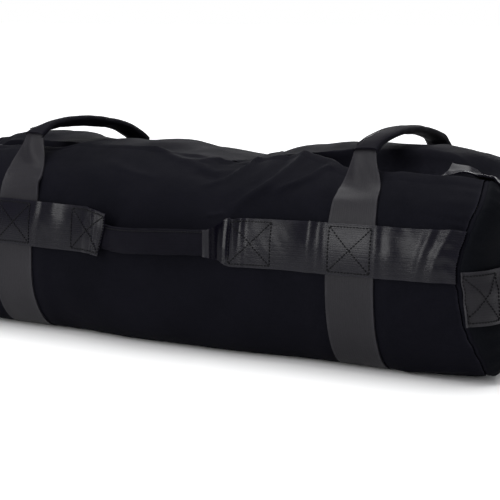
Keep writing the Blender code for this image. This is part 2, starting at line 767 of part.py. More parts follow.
def make_placket():
    """Hem over the front edge of the trough, which passes under the girth straps."""
    x = along_shell()[:, None]
    edge = zip_columns(x, -1)[:, -2:]
    girth = np.concatenate([edge, np.full(x.shape, -placket_girth_share)], axis=1)
    outer = on_skin(x, girth, np.full(girth.shape, fit_gap + placket_thickness))
    inner = on_skin(x, girth, np.full(girth.shape, fit_gap))
    slab("zip_placket", outer, inner, fabric_black)


def make_zip_tab(side):
    """Webbing over the end of the zip, folded over the end seam and down the end panel."""
    offsets = np.array([tab_column_share, trough_column_shares[0], zip_slot_width / trough_width])
    offsets = np.array([*offsets, *(-offsets[::-1])]) * trough_width / 2
    y = -zip_distance + side * offsets[None, :]
    clear = piping_radius - piping_depth + fit_gap
    x = np.array([*end_stations(), half_length, panel_rim])[:, None]
    girth = girth_at_y(side * x, y)
    climb = smooth((x - trough_end_distance - trough_climb_length / 2) / (trough_climb_length / 2))
    low = fit_gap + clear * climb + 0 * y
    level = on_skin(side * x, girth, low)
    level[..., 0] = side * x
    level_out = on_skin(side * x, girth, low + webbing_thickness)
    level_out[..., 0] = side * x
    turn = np.array(tab_turn_shares)[:, None] * math.pi / 2 + 0 * y
    girth = girth_at_y(side * half_length, y) + 0 * turn
    normal = dome_normal(side, turn, girth)
    lift = fit_gap + clear * (1 - smooth(turn / turn[-1]))
    down = dome(side, turn, girth) + normal * lift[..., None]
    down_out = down + normal * webbing_thickness
    inner, outer = np.concatenate([level, down]), np.concatenate([level_out, down_out])
    slab(f"zip_tab_{side_name(side)}", outer, inner, webbing_grey)


def make_filler(side, level, number):
    """Inner bag with its mouth towards the middle, the sand in it and the closure of its mouth."""
    floor = fabric_thickness + 2 * fit_gap + webbing_thickness
    size = (lower_filler_width, lower_filler_height)
    if level == "upper":
        floor += lower_filler_height + fit_gap
        size = (upper_filler_width, upper_filler_height)
    middle_z = floor + size[1] / 2
    start = filler_middle_gap / 2 + filler_closure_thickness + fit_gap
    end = half_length - filler_end_gap
    middle, half = (start + end) / 2, (end - start) / 2

    def rings(inset, mouth):
        share = np.array(filler_profile_shares)
        taper = (1 - np.clip(share, 0, None) ** 4) ** 0.25
        taper = taper * (1 - filler_mouth_share * np.clip(-share, 0, None) ** 3)
        found = []
        places = np.clip(middle + (half - inset) * share, start + mouth, end)
        for place, scale in zip(places, taper):
            y, z = oval(size[0] / 2 * scale - inset, size[1] / 2 * scale - inset,
                        filler_roundness, 16)
            found.append(np.stack([np.full(16, side * place), y, z + middle_z], axis=1))
        return np.array(found)

    outer = rings(0.0, 0.0)
    inner = rings(filler_skin_thickness, 0.0)
    loft(f"filler_bag_{number}", np.concatenate([outer, inner[::-1]]), liner_grey)
    sand = rings(filler_skin_thickness + sand_clearance, sand_mouth_gap)
    loft(f"sand_load_{number}", sand, sand_tan)
    lid, back = outer[-1].copy(), outer[-1].copy()
    lid[:, 0] = side * (start - fit_gap)
    back[:, 0] = side * (start - fit_gap - filler_closure_thickness)
    loft(f"filler_closure_{number}", [lid, back], zip_black)


clear_scene()
make_shell()
for end_side in (left, right):
    make_end_panel(end_side)
    make_piping(end_side)
    make_girth_strap(end_side)
    make_top_handle(end_side)
    make_end_handle(end_side)
    make_zip_tab(end_side)
for band_side in (front, rear):
    make_side(band_side)
make_slider(make_zip())
make_placket()
filler_places = [(left, "lower"), (right, "lower"), (left, "upper"), (right, "upper")]
for filler_number, (filler_side, filler_level) in enumerate(filler_places, start=1):
    make_filler(filler_side, filler_level, filler_number)
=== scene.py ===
# Training sandbag: cloth, webbing, stitching, zip and inner bags over the solid frame.
# Metres. +X runs along the bag, the front faces -Y, +Z is up, and the bag lies on z = 0.
import math

import bpy
import numpy as np
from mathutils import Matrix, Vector


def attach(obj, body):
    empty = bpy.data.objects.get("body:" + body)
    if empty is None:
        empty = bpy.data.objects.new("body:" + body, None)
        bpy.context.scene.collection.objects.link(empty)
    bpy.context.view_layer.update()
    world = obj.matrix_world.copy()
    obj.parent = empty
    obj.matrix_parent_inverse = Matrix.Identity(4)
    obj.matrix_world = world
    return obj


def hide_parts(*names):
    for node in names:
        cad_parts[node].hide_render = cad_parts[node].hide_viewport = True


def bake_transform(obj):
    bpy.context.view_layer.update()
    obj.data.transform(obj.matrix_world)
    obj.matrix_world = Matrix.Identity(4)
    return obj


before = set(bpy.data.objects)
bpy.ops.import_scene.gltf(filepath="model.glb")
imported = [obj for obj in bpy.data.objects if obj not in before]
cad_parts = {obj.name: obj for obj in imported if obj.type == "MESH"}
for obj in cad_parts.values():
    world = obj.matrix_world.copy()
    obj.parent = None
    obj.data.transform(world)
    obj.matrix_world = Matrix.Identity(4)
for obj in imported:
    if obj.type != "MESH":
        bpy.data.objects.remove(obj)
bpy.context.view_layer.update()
print("frame loaded:", len(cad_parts), "solid nodes")

front, rear = -1, 1
left, right = -1, 1
sideNames = {left: "left", right: "right"}
faceNames = {front: "front", rear: "rear"}
sideways, upwards = np.array([1.0, 0, 0]), np.array([0, 0, 1.0])

# Camera and light

camera = dict(
    place=(0.7623, -1.3269, 0.3421),
    turn=29.0,  # degrees round the bag, from straight in front
    drop=9.47,  # degrees below level
    lens=102.96, sensor=36.0, nearest=0.05, farthest=50,
)
eye = bpy.data.cameras.new("studioCamera")
eye.lens, eye.sensor_width = camera["lens"], camera["sensor"]
eye.clip_start, eye.clip_end = camera["nearest"], camera["farthest"]
eyeObject = bpy.data.objects.new("studioCamera", eye)
eyeObject.location = camera["place"]
eyeObject.rotation_euler = (math.radians(90 - camera["drop"]), 0, math.radians(camera["turn"]))
bpy.context.scene.collection.objects.link(eyeObject)
bpy.context.scene.camera = eyeObject

# Soft boxes: where each stands, where it points, its size and its strength
softBoxes = dict(
    overhead=((0.05, 0.05, 1.75), (0.0, 0.0, 0.1), (2.4, 1.7), 44.0),
    frontLeft=((-0.46, -1.80, 0.58), (0.1, 0.0, 0.12), (0.50, 0.86), 12.0),
    frontHigh=((-0.80, -1.25, 1.30), (-0.05, 0.0, 0.16), (0.9, 0.45), 7.0),
    frontRight=((1.30, -1.30, 1.10), (0.1, 0.0, 0.1), (0.5, 0.8), 3.5),
    behind=((-0.3, 1.60, 0.75), (0.0, 0.0, 0.18), (2.0, 0.5), 9.0),
)
studio = dict(
    floorSize=60.0, floorHeight=-0.0004, floorColour=(0.90, 0.90, 0.90), floorRoughness=0.9,
    glowStart=0.55, glowEnd=2.6, glow=0.85,  # the paper is lit up from this far out, for the camera
    skySeen=(1.0, 1.0, 1.0), skyTint=(0.96, 0.97, 1.0), skyLight=0.36,
)


def aimAt(place, target):
    # Turns an object's -Z axis from its place towards the target.
    return (Vector(target) - Vector(place)).to_track_quat("-Z", "Y").to_euler()


for boxName, (place, target, size, strength) in softBoxes.items():
    lamp = bpy.data.lights.new(boxName, "AREA")
    lamp.shape, lamp.size, lamp.size_y, lamp.energy = "RECTANGLE", size[0], size[1], strength
    lampObject = bpy.data.objects.new(boxName, lamp)
    lampObject.location, lampObject.rotation_euler = place, aimAt(place, target)
    bpy.context.scene.collection.objects.link(lampObject)

# Small numpy tools


def smoothStep(share):
    # 3 s^2 - 2 s^3, held between 0 and 1.
    share = np.clip(share, 0, 1)
    return share * share * (3 - 2 * share)


def rampUp(value, start, over):
    # A smooth step from 0 at the start to 1 so far past it.
    return smoothStep((value - start) / over)


def rampDown(value, end, over):
    # A smooth step from 1, so far before the end, to 0 at the end.
    return smoothStep((end - value) / over)


def easedSteps(x, places, values):
    # The value eases from each named place to the next with a smooth step.
    places, values = np.array(places, float), np.array(values, float)
    i = np.clip(np.searchsorted(places, x, side="right") - 1, 0, len(places) - 2)
    share = smoothStep((x - places[i]) / (places[i + 1] - places[i]))
    return values[i] + (values[i + 1] - values[i]) * share


def inMetres(table):
    # The columns of a table that is written in mm.
    return np.array(table, float).T / 1000


latticeCells = 64


def softNoise(u, v, size, seed):
    # Random values on a square lattice of the given spacing, blended with smooth steps: -1 to 1.
    lattice = np.random.default_rng(seed).uniform(-1, 1, (latticeCells, latticeCells))
    u, v = np.broadcast_arrays(np.asarray(u) / size, np.asarray(v) / size)
    i, j = np.floor(u).astype(int), np.floor(v).astype(int)
    a, b = smoothStep(u - i), smoothStep(v - j)
    i, j, nextI, nextJ = (k % latticeCells for k in (i, j, i + 1, j + 1))
    low = lattice[i, j] * (1 - a) + lattice[nextI, j] * a
    high = lattice[i, nextJ] * (1 - a) + lattice[nextI, nextJ] * a
    return low * (1 - b) + high * b


def unit(vectors):
    # The same directions at length 1.
    return vectors / np.maximum(np.linalg.norm(vectors, axis=-1, keepdims=True), 1e-12)


def distanceAlong(points):
    # Distance of each point of a line from its first point, along the line.
    return np.concatenate([[0], np.cumsum(np.linalg.norm(np.diff(points, axis=0), axis=1))])


def throughPoints(points, count):
    # Cubic Hermite curve through the points, with slopes from each point's two neighbours.
    points = np.array(points, float)
    t = distanceAlong(points)
    slopes = np.gradient(points, t, axis=0)
    where = np.linspace(0, t[-1], count)
    i = np.clip(np.searchsorted(t, where, side="right") - 1, 0, len(t) - 2)
    width = (t[i + 1] - t[i])[:, None]
    u = (where[:, None] - t[i][:, None]) / width
    return (points[i] * (2 * u**3 - 3 * u**2 + 1) + slopes[i] * width * (u**3 - 2 * u**2 + u)
            + points[i + 1] * (3 * u**2 - 2 * u**3) + slopes[i + 1] * width * (u**3 - u**2))


# The bag's outer face, as a function of the place along it and a share of the girth

bag = dict(
    length=0.628, width=0.254, height=0.208, floorFlat=0.150, widestHeight=0.097,
    endTuck=0.005, endTuckLength=0.060,
    crownPlaces=(-1.0, -0.86, -0.64, -0.30, -0.08, 0.16, 0.32, 0.46, 0.84, 1.0),
    crownHeights=(0.962, 0.968, 0.974, 0.974, 0.956, 0.924, 0.976, 1.0, 1.0, 0.985),
    leftRoundness=3.0, rightRoundness=2.4,
    flatShare=0.20, cornerShare=0.525,
    girthLength=0.78,  # of cloth, round the whole section
    thickness=0.0016,
    strapPlaces={left: -0.1915, right: 0.2015}, strapWidth=0.050, webbingThickness=0.0018,
    gap=0.0003,  # left free between neighbouring layers
    recessFrom=0.36, recessEdge=0.003,  # where the straps press in the underside
    zipDistance=0.050, zipHeight=0.178, slotHalf=0.007, slotFloor=0.0078,
    troughEnd=0.264, troughClimb=0.040,
    # Crests of the cloth on both sides of the zip, in mm: place along, front crest, rear crest
    lips=(
        (-310, -68, -36), (-262, -68, -36), (-230, -69, -36), (-185, -67, -36), (-150, -62, -40),
        (-60, -60, -41), (40, -60, -41), (110, -61, -40), (150, -73, -32), (180, -82, -24),
        (210, -84, -20), (262, -83, -20), (310, -74, -24),
    ),
    closedFrom=-0.178, closedTo=0.176, closeFade=0.040, closeBy=0.0086, closeReach=0.045,
    closePower=0.8,
    lipSwell=0.0042, lipSwellReach=0.036,
    bellyDepth=0.009, bellyFlat=0.045, bellyReach=0.165, rearBelly=0.5,
    bellyUp=(0.06, 0.14), bellyDown=(0.62, 0.34),
    riseUp=(-0.038, 0.034), riseDown=(0.088, 0.045),  # the rear rise, across the bag
    # How much higher the slack top lies behind the zip: place along and height, in mm
    rearRise=(
        (-314, -1.5), (-304, 1.0), (-289, 3.5), (-266, 5.5), (-243, 6.3), (-225, 5.0), (-208, 2.2),
        (-187, -0.8), (-165, -1.8), (-113, 0.0), (-64, 3.4), (-28, 0.0), (0, -3.0), (42, -2.6),
        (54, 1.2), (69, 2.8), (93, 4.0), (129, 3.8), (150, 2.8), (185, 4.3), (217, 4.2),
        (247, 2.4), (275, 0.0), (300, -2.0), (314, -2.0),
    ),
)
# Waves and creases of the slack cloth: height, spacing and seed of each
slack = dict(
    waves=((0.0011, 0.085, 3), (0.0007, 0.036, 5)),
    creases=((0.00028, 0.013, 8), (0.00016, 0.007, 12)),
    # Ramps up the side, as the share of the half girth where each starts and how long it is
    upperRamp=(0.62, 0.25), swellRamp=(0.2, 0.2), puckerRamp=(0.15, 0.1), topRamp=(0.80, 0.12),
    besideStrap=0.008, swell=0.0020, swellAt=0.012, swellHalf=0.011,
    pucker=0.0007, puckerReach=0.016, puckerPitch=0.0021, puckerStray=3, strayNoise=(0.03, 21),
    topDrop=0.0022, endFade=0.014,
)
# How far the middle of each girth strap strays along the bag, in mm, by share of the girth
strapLean = {
    left: ((-0.5, 4.0), (-0.385, 2.0), (-0.345, 4.5), (-0.305, 6.0), (-0.262, -0.5),
           (-0.20, -5.0), (0.0, -6.0), (0.20, -3.0), (0.37, 8.0), (0.5, 11.0)),
    right: ((-0.5, -0.5), (-0.37, 1.0), (-0.28, 3.0), (-0.18, 1.8), (0.0, 1.0), (0.25, 0.0),
            (0.5, 0.0)),
}
halfLength = bag["length"] / 2

# Folds in the slack cloth: points (mm along, share of girth), height in mm, half width in mm
folds = dict(
    crossing=([(24, -0.362), (31, -0.376), (40, -0.384), (49, -0.393), (56, -0.407), (62, -0.423),
               (66, -0.442), (67, -0.464), (62, -0.490), (50, -0.53), (34, -0.58)], 3.6, 5.0),
    leftLong=([(-118, -0.466), (-91, -0.460), (-69, -0.449), (-50, -0.441), (-35, -0.432),
               (-17, -0.421), (0, -0.416), (20, -0.411), (31, -0.406), (43, -0.411),
               (58, -0.418)], 2.8, 5.5),
    topLong=([(-17, -0.421), (3, -0.424), (20, -0.441), (34, -0.462), (43, -0.478),
              (52, -0.497), (58, -0.53)], 2.2, 5.0),
    broad=([(66, -0.315), (79, -0.338), (88, -0.350), (99, -0.364), (108, -0.383), (117, -0.403),
            (122, -0.422), (120, -0.445), (112, -0.48)], 4.2, 9.0),
    nearStrap=([(112, -0.355), (126, -0.369), (137, -0.376), (147, -0.385), (154, -0.396),
                (161, -0.404), (178, -0.399)], 3.0, 5.5),
    lowLeft=([(-100, -0.400), (-75, -0.388), (-55, -0.382), (-30, -0.379)], 1.8, 7.0),
    anchorPinch=([(44, -0.3205), (52, -0.3225), (64, -0.326)], 1.6, 3.0),
    darkDent=([(4, -0.394), (16, -0.398), (28, -0.396), (42, -0.400)], -2.6, 5.0),
    dentAbove=([(20, -0.428), (36, -0.436), (50, -0.446)], -1.8, 6.0),
    dentBeside=([(82, -0.362), (96, -0.388), (102, -0.415), (98, -0.45)], -2.6, 9.0),
    leftBack=([(-250, -0.55), (-215, -0.565), (-170, -0.58)], 2.0, 8.0),
    rearOne=([(-120, -0.60), (-70, -0.63), (-25, -0.65), (10, -0.66)], 2.6, 8.0),
    rearTwo=([(20, -0.60), (60, -0.62), (110, -0.63), (150, -0.62)], 2.4, 7.0),
    crownCrease=([(46, -0.56), (50, -0.53), (51, -0.50), (50, -0.47)], -2.0, 6.0),
    leftHollow=([(-205, -0.447), (-180, -0.449), (-160, -0.446)], -2.2, 8.0),
    endGroove=([(236, -0.112), (270, -0.118), (309, -0.124)], -2.6, 6.0),
    rearThree=([(-160, -0.63), (-110, -0.66), (-60, -0.67)], 2.2, 9.0),
    endRight=([(232, -0.20), (262, -0.235), (292, -0.255)], 1.6, 9.0),
    endRightLow=([(240, -0.125), (270, -0.145), (300, -0.150)], 2.2, 7.0),
    belowBand=([(60, -0.205), (110, -0.198), (160, -0.207)], 1.2, 12.0),
    belowBandLeft=([(-150, -0.21), (-90, -0.203), (-20, -0.214)], 1.2, 12.0),
)


def wrapped(girth):
    # The same share of the girth between -0.5 and 0.5.
    return (np.asarray(girth) + 0.5) % 1.0 - 0.5


def crownHeight(x):
    # Height of the top line: eased steps between the named shares of the half length.
    share = np.clip(np.asarray(x, float) / halfLength, -1, 1)
    return bag["height"] * easedSteps(share, bag["crownPlaces"], bag["crownHeights"])


def sectionSizes(x):
    # Half width, top, base and roundness of the cross-section at x.
    nearEnd = (np.abs(x) - (halfLength - bag["endTuckLength"])) / bag["endTuckLength"]
    tuck = bag["endTuck"] * np.clip(nearEnd, 0, 1) ** 2
    along = np.clip(np.asarray(x, float) / bag["length"] + 0.5, 0, 1)
    roundness = bag["leftRoundness"] + (bag["rightRoundness"] - bag["leftRoundness"]) * along
    return bag["width"] / 2 - tuck, crownHeight(x) - tuck, tuck, roundness


def archPoint(x, girth):
    # Floor flat, then a quarter ellipse up to the widest point, then a superellipse to the top:
    # y = w cos(a)^(2/n), z = h sin(a)^(2/n). Girth is 0 under the bag, -0.5 on top by the front.
    x, girth = np.broadcast_arrays(np.asarray(x, float), np.asarray(girth, float))
    girth = wrapped(girth)
    side, s = np.where(girth < 0, -1.0, 1.0), 2 * np.abs(girth)
    wide, top, base, roundness = sectionSizes(x)
    flat, flatShare, cornerShare = bag["floorFlat"] / 2, bag["flatShare"], bag["cornerShare"]
    corner = np.clip((s - flatShare) / (cornerShare - flatShare), 0, 1) * math.pi / 2
    upper = np.clip((s - cornerShare) / (1 - cornerShare), 0, 1) * math.pi / 2
    across = flat * np.clip(s / flatShare, 0, 1) + (wide - flat) * np.sin(corner)
    across = np.where(s > cornerShare, wide * np.abs(np.cos(upper)) ** (2 / roundness), across)
    lowerZ = base + (bag["widestHeight"] - base) * (1 - np.cos(corner))
    upperZ = (top - bag["widestHeight"]) * np.sin(upper) ** (2 / roundness)
    return np.stack([x, side * across, lowerZ + upperZ], axis=-1)


def gridNormal(surface, x, girth, stepX=0.0015, stepGirth=0.002):
    # Cross product of the two slopes of a surface function.
    along = surface(x + stepX, girth) - surface(x - stepX, girth)
    around = surface(x, girth + stepGirth) - surface(x, girth - stepGirth)
    return unit(np.cross(around, along))


def girthAtY(x, y):
    # Share of the girth on the upper half, from the distance across.
    wide, _, _, roundness = sectionSizes(x)
    upper = np.arccos(np.clip(np.abs(y) / wide, 0, 1) ** (roundness / 2))
    s = bag["cornerShare"] + upper / (math.pi / 2) * (1 - bag["cornerShare"])
    return np.where(np.asarray(y) < 0, -s / 2, s / 2)


def girthAtZ(x, z, side):
    # Share of the girth on the front or the rear, from the height.
    _, top, base, roundness = sectionSizes(x)
    widest, flatShare, cornerShare = bag["widestHeight"], bag["flatShare"], bag["cornerShare"]
    up = np.clip((z - widest) / (top - widest), 0, 1) ** (roundness / 2)
    down = np.clip(1 - (z - base) / (widest - base), 0, 1)
    upper = cornerShare + np.arcsin(up) / (math.pi / 2) * (1 - cornerShare)
    lower = flatShare + np.arccos(down) / (math.pi / 2) * (cornerShare - flatShare)
    return side * np.where(z > widest, upper, lower) / 2


def lipCrests(x):
    # Front and rear crest of the cloth beside the zip at x.
    places = inMetres(bag["lips"])
    return easedSteps(x, places[0], places[1]), easedSteps(x, places[0], places[2])


def troughLevel(x, y, onTop):
    # 1 over the zip, 0 from both crests outwards, with a smooth step between.
    frontCrest, rearCrest = lipCrests(x)
    zipFront = -bag["zipDistance"] - bag["slotFloor"]
    zipRear = -bag["zipDistance"] + bag["slotFloor"]
    level = rampUp(y, frontCrest, zipFront - frontCrest)
    level = level * rampDown(y, rearCrest, rearCrest - zipRear)
    level = level * smoothStep(1 - (np.abs(x) - bag["troughEnd"]) / bag["troughClimb"])
    return np.where(onTop, level, 0.0)


def foldHeight(x, share):
    # Sum of ridges: height / (1 + (d / w)^2)^2 of the distance d to each fold's line, which fades
    # over the last quarter at both ends.
    along = share * bag["girthLength"]
    total = np.zeros(np.broadcast(x, along).shape)
    for points, height, width in folds.values():
        line = np.array(points) * [0.001, bag["girthLength"]]
        lengths = np.hypot(*(line[1:] - line[:-1]).T)
        before = np.concatenate([[0], np.cumsum(lengths)])
        nearest, place = np.full(total.shape, np.inf), np.zeros(total.shape)
        for start, way, length, done in zip(line, np.diff(line, axis=0), lengths, before):
            t = (x - start[0]) * way[0] + (along - start[1]) * way[1]
            t = np.clip(t / length**2, 0, 1)
            far = np.hypot(x - start[0] - t * way[0], along - start[1] - t * way[1])
            place = np.where(far < nearest, (done + t * length) / before[-1], place)
            nearest = np.minimum(nearest, far)
        fade = smoothStep(np.minimum(place, 1 - place) / 0.25 + 0.15)
        total = total + 0.001 * height * fade / (1 + (nearest / (0.001 * width)) ** 2) ** 2
    return total


def strapCentre(side, girth):
    # Middle of a girth strap at a share of the girth.
    lean = np.array(strapLean[side], float).T
    return bag["strapPlaces"][side] + 0.001 * easedSteps(girth, lean[0], lean[1])


def offStrap(x, girth):
    # Distance from the edge of the nearer girth strap, below zero over the strap.
    centre = np.where(x < 0, strapCentre(left, girth), strapCentre(right, girth))
    return np.abs(x - centre) - bag["strapWidth"] / 2


def clothHeight(x, girth):
    # How far the cloth stands off the smooth section: folds, slack waves, fine creases, swelling
    # beside the straps and puckers at the end seams.
    girth = wrapped(girth)
    share = np.where(girth < 0.1, girth, girth - 1.0)
    along = share * bag["girthLength"]
    s = 2 * np.abs(girth)
    fromStrap = offStrap(x, girth)
    beside = smoothStep(fromStrap / slack["besideStrap"])
    upper = rampUp(s, *slack["upperRamp"])
    (broad, broadSize, broadSeed), (narrow, narrowSize, narrowSeed) = slack["waves"]
    waves = broad * softNoise(x, along, broadSize, broadSeed) * (0.45 + 0.9 * upper)
    waves = waves + narrow * softNoise(x, along, narrowSize, narrowSeed) * (0.35 + 0.9 * upper)
    (coarse, coarseSize, coarseSeed), (fine, fineSize, fineSeed) = slack["creases"]
    creases = coarse * softNoise(x + 0.4 * along, along, coarseSize, coarseSeed) * (0.5 + upper)
    creases = creases + fine * softNoise(x - 0.7 * along, along, fineSize, fineSeed)
    swell = slack["swell"] * np.exp(-(((fromStrap - slack["swellAt"]) / slack["swellHalf"]) ** 2))
    swell = swell * rampUp(s, *slack["swellRamp"])
    toEnd = halfLength - np.abs(x)
    stray = slack["puckerStray"] * softNoise(x, along, *slack["strayNoise"])
    turns = np.sin(along / slack["puckerPitch"] + stray)
    pucker = slack["pucker"] * np.exp(-toEnd / slack["puckerReach"]) * turns
    pucker = pucker * rampUp(s, *slack["puckerRamp"])
    height = foldHeight(x, share) * (0.25 + 0.75 * beside)
    height = height + (waves + creases) * (0.3 + 0.7 * beside)
    height = height - slack["topDrop"] * rampUp(s, *slack["topRamp"])
    return (height + swell + pucker) * smoothStep(toEnd / slack["endFade"])


def recessDepth(x, girth):
    # The cloth is pressed in where a strap runs under the bag.
    girth, recessFrom = wrapped(girth), bag["recessFrom"]
    fade = rampDown(2 * np.abs(girth), recessFrom, recessFrom - bag["flatShare"])
    under = smoothStep(1 - offStrap(x, girth) / bag["recessEdge"])
    return (bag["webbingThickness"] + bag["gap"]) * fade * under


def clothPoint(x, girth, pressed=True):
    # The smooth section, lowered to the zip between the two crests, moved out along its own
    # normal by the cloth's height, with a belly low down between the straps. Where the slot is
    # closed both crests lean over the zip, by less and less towards its floor.
    x, girth = np.broadcast_arrays(np.asarray(x, float), np.asarray(girth, float))
    point = archPoint(x, girth)
    normal = gridNormal(archPoint, x, girth, 0.0001, 0.0002)
    s = 2 * np.abs(wrapped(girth))
    y, z = point[..., 1], point[..., 2]
    onTop = s > bag["cornerShare"]
    level = troughLevel(x, y, onTop)
    height = clothHeight(x, girth) * (1 - level) - level * (z - bag["zipHeight"])
    lift = upwards * level[..., None] + normal * (1 - level[..., None])
    point = point + np.where(level[..., None] > 0, lift, normal) * height[..., None]
    if pressed:
        point = point - normal * recessDepth(x, girth)[..., None]
    flat, reach, fade = bag["bellyFlat"], bag["bellyReach"], bag["closeFade"]
    belly = bag["bellyDepth"] * smoothStep(1 - (np.abs(x) - flat) / (reach - flat))
    belly = belly * rampUp(s, *bag["bellyUp"]) * rampDown(s, *bag["bellyDown"])
    frontCrest, rearCrest = lipCrests(x)
    closed = rampUp(x, bag["closedFrom"], fade) * rampDown(x, bag["closedTo"], fade)
    isFront = y < -bag["zipDistance"]
    beyond = np.where(isFront, frontCrest - y, y - rearCrest)
    near = closed * smoothStep(1 - beyond / bag["closeReach"]) * onTop
    near = near * (1 - level) ** bag["closePower"]
    point[..., 1] += bag["closeBy"] * near * np.where(isFront, 1, -1)
    swelled = np.where(isFront, smoothStep(1 - beyond / bag["lipSwellReach"]), 0.0)
    point[..., 2] += bag["lipSwell"] * swelled * closed * onTop * (1 - level)
    behindZip = rampUp(y, *bag["riseUp"]) * rampDown(y, *bag["riseDown"]) * onTop
    point[..., 2] += easedSteps(x, *inMetres(bag["rearRise"])) * behindZip * (1 - level)
    point[..., 1] += np.where(y < 0, -belly, bag["rearBelly"] * belly)
    point[..., 2] = np.maximum(point[..., 2], 0.0)
    return point


def looseCloth(x, girth):
    # The cloth's face as if no strap pressed it in.
    return clothPoint(x, girth, pressed=False)


# Where the end seams sit in or out, by height, in mm, and the dip behind the zip's two ends
endSettle = dict(
    seam=((0, 16.0), (20, 15.5), (36, 11.0), (48, 6.0), (62, 2.0), (88, -1.5), (102, -5.0),
          (112, -5.5), (126, -3.5), (140, 0.0), (152, 3.0), (168, 6.5), (190, 5.0), (240, 3.0)),
    reach=0.060, frontFrom=0.050, frontFull=0.092, leftShare=0.5,
    dip=0.0190, dipMiddle=-0.032, dipHalf=0.042, dipFrom=0.262, dipTo=0.306, dipUp=(0.135, 0.05),
)


def settled(points):
    # Slides points near an end along the bag by height, and lowers those behind the zip's end.
    x, y, z = points.T
    end = endSettle
    near = rampUp(np.abs(x), halfLength - end["reach"], end["reach"])
    onFront = rampUp(-y, end["frontFrom"], end["frontFull"] - end["frontFrom"])
    amount = np.where(x < 0, -end["leftShare"], 1.0) * easedSteps(z, *inMetres(end["seam"]))
    dipAt = rampUp(np.abs(x), end["dipFrom"], end["dipTo"] - end["dipFrom"])
    dipAcross = smoothStep(1 - np.abs(y - end["dipMiddle"]) / end["dipHalf"])
    moved = points.copy()
    moved[:, 0] += amount * near * onFront
    moved[:, 2] -= end["dip"] * dipAt * dipAcross * rampUp(z, *end["dipUp"])
    return moved


# Meshes from whole arrays

sharpAngle = 50  # degrees between faces, past which an edge stays sharp


def setMap(mesh, uv):
    # The cloth map: one pair of numbers per point, given to each corner that uses the point.
    corner = np.zeros(len(mesh.loops), np.int32)
    mesh.loops.foreach_get("vertex_index", corner)
    layer = mesh.uv_layers.new(name="clothMap")
    layer.data.foreach_set("uv", np.asarray(uv, np.float32).reshape(-1, 2)[corner].ravel())


def signedVolume(points, quads, centre=0.0):
    # Six times the volume inside the quads, below zero where they face inwards.
    a, b, c, d = (points[quads[:, k]] - centre for k in range(4))
    volume = np.einsum("ij,ij->", a, np.cross(b, c))
    return volume + np.einsum("ij,ij->", a, np.cross(c, d))


def addPiece(name, points, faces, look, body, uv=None, edge=None, replaces=(), smooth=True):
    # One object at the origin from points, quads or polygons, and values per point. A closed
    # shape whose volume comes out negative has its faces turned round. A body given as
    # (body, body, start, end) only has the object's transform baked in; it is attached to no body.
    points = settled(np.asarray(points, float).reshape(-1, 3))
    if isinstance(faces, np.ndarray):
        faces = (faces[:, ::-1] if signedVolume(points, faces) < 0 else faces).tolist()
    mesh = bpy.data.meshes.new(name)
    mesh.from_pydata(points, [], faces)
    if uv is not None:
        setMap(mesh, uv)
    if edge is not None:
        values = mesh.attributes.new("edgeShare", "FLOAT", "POINT")
        values.data.foreach_set("value", np.asarray(edge, np.float32).ravel())
    if smooth:
        mesh.shade_smooth()
        mesh.set_sharp_from_angle(angle=math.radians(sharpAngle))
    mesh.materials.append(look)
    made = bpy.data.objects.new(name, mesh)
    bpy.context.scene.collection.objects.link(made)
    if isinstance(body, tuple):
        bodyA, bodyB, start, end = body
        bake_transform(made)
        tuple(start)
        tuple(end)
    elif body:
        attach(made, body)
    if replaces:
        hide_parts(*replaces)
    return made


def quadGrid(rows, columns, wrapRows=False, wrapColumns=False):
    # Corner numbers of the quads between neighbouring rows and columns.
    i = np.arange(rows if wrapRows else rows - 1)[:, None]
    j = np.arange(columns if wrapColumns else columns - 1)[None, :]
    k, m = (i + 1) % rows, (j + 1) % columns
    quads = np.stack([i * columns + j, i * columns + m, k * columns + m, k * columns + j], axis=-1)
    return quads.reshape(-1, 4)


def slabPiece(name, outer, inner, look, body, spacing=(1, 1), **more):
    # Closed body between two grids of points that face each other. Its edge share fades over
    # the two distances in spacing, from its sides and from its ends.
    rows, columns = outer.shape[:2]
    total = rows * columns
    index = np.arange(total).reshape(rows, columns)
    border = np.concatenate([index[0], index[1:, -1], index[-1, -2::-1], index[-2:0:-1, 0]])
    after = np.roll(border, -1)
    rim = np.stack([border, border + total, after + total, after], axis=-1)
    top = quadGrid(rows, columns)
    faces = np.concatenate([top, top[:, ::-1] + total, rim])
    along = distanceAlong(outer[:, columns // 2])
    across = distanceAlong(outer[rows // 2])
    across = across - across[-1] / 2
    uv = np.stack(np.broadcast_arrays(along[:, None], across[None, :]), axis=-1)
    fromSide = 1 - rampDown(np.abs(across), across[-1], spacing[0])
    fromEnd = 1 - smoothStep(np.minimum(along, along[-1] - along) / spacing[1])
    edge = np.maximum(*np.broadcast_arrays(fromSide[None, :], fromEnd[:, None]))
    points, uv = np.concatenate([outer, inner]), np.concatenate([uv, uv])
    return addPiece(name, points, faces, look, body, uv, np.concatenate([edge, edge]), **more)


def tubePiece(name, rings, look, body, closed=False, uv=None, **more):
    # Body through rings of points, joined end to start or capped with a polygon at both ends.
    rings = np.asarray(rings, float)
    rows, columns = rings.shape[:2]
    faces = quadGrid(rows, columns, closed, True)
    if uv is None:
        along = distanceAlong(rings.mean(1))
        aroundLength = np.linalg.norm(np.diff(rings[rows // 2], axis=0), axis=1).sum()
        around = np.linspace(0, 1, columns) * aroundLength
        uv = np.stack(np.broadcast_arrays(along[:, None], around[None, :]), axis=-1)
    if not closed:
        flat, cap = rings.reshape(-1, 3), list(range(columns))
        insideOut = signedVolume(flat, faces, flat.mean(0)) < 0
        faces = faces.tolist() + [cap[::-1], [(rows - 1) * columns + k for k in cap]]
        if insideOut:
            faces = [face[::-1] for face in faces]
    return addPiece(name, rings, faces, look, body, uv, np.zeros(rows * columns), **more)


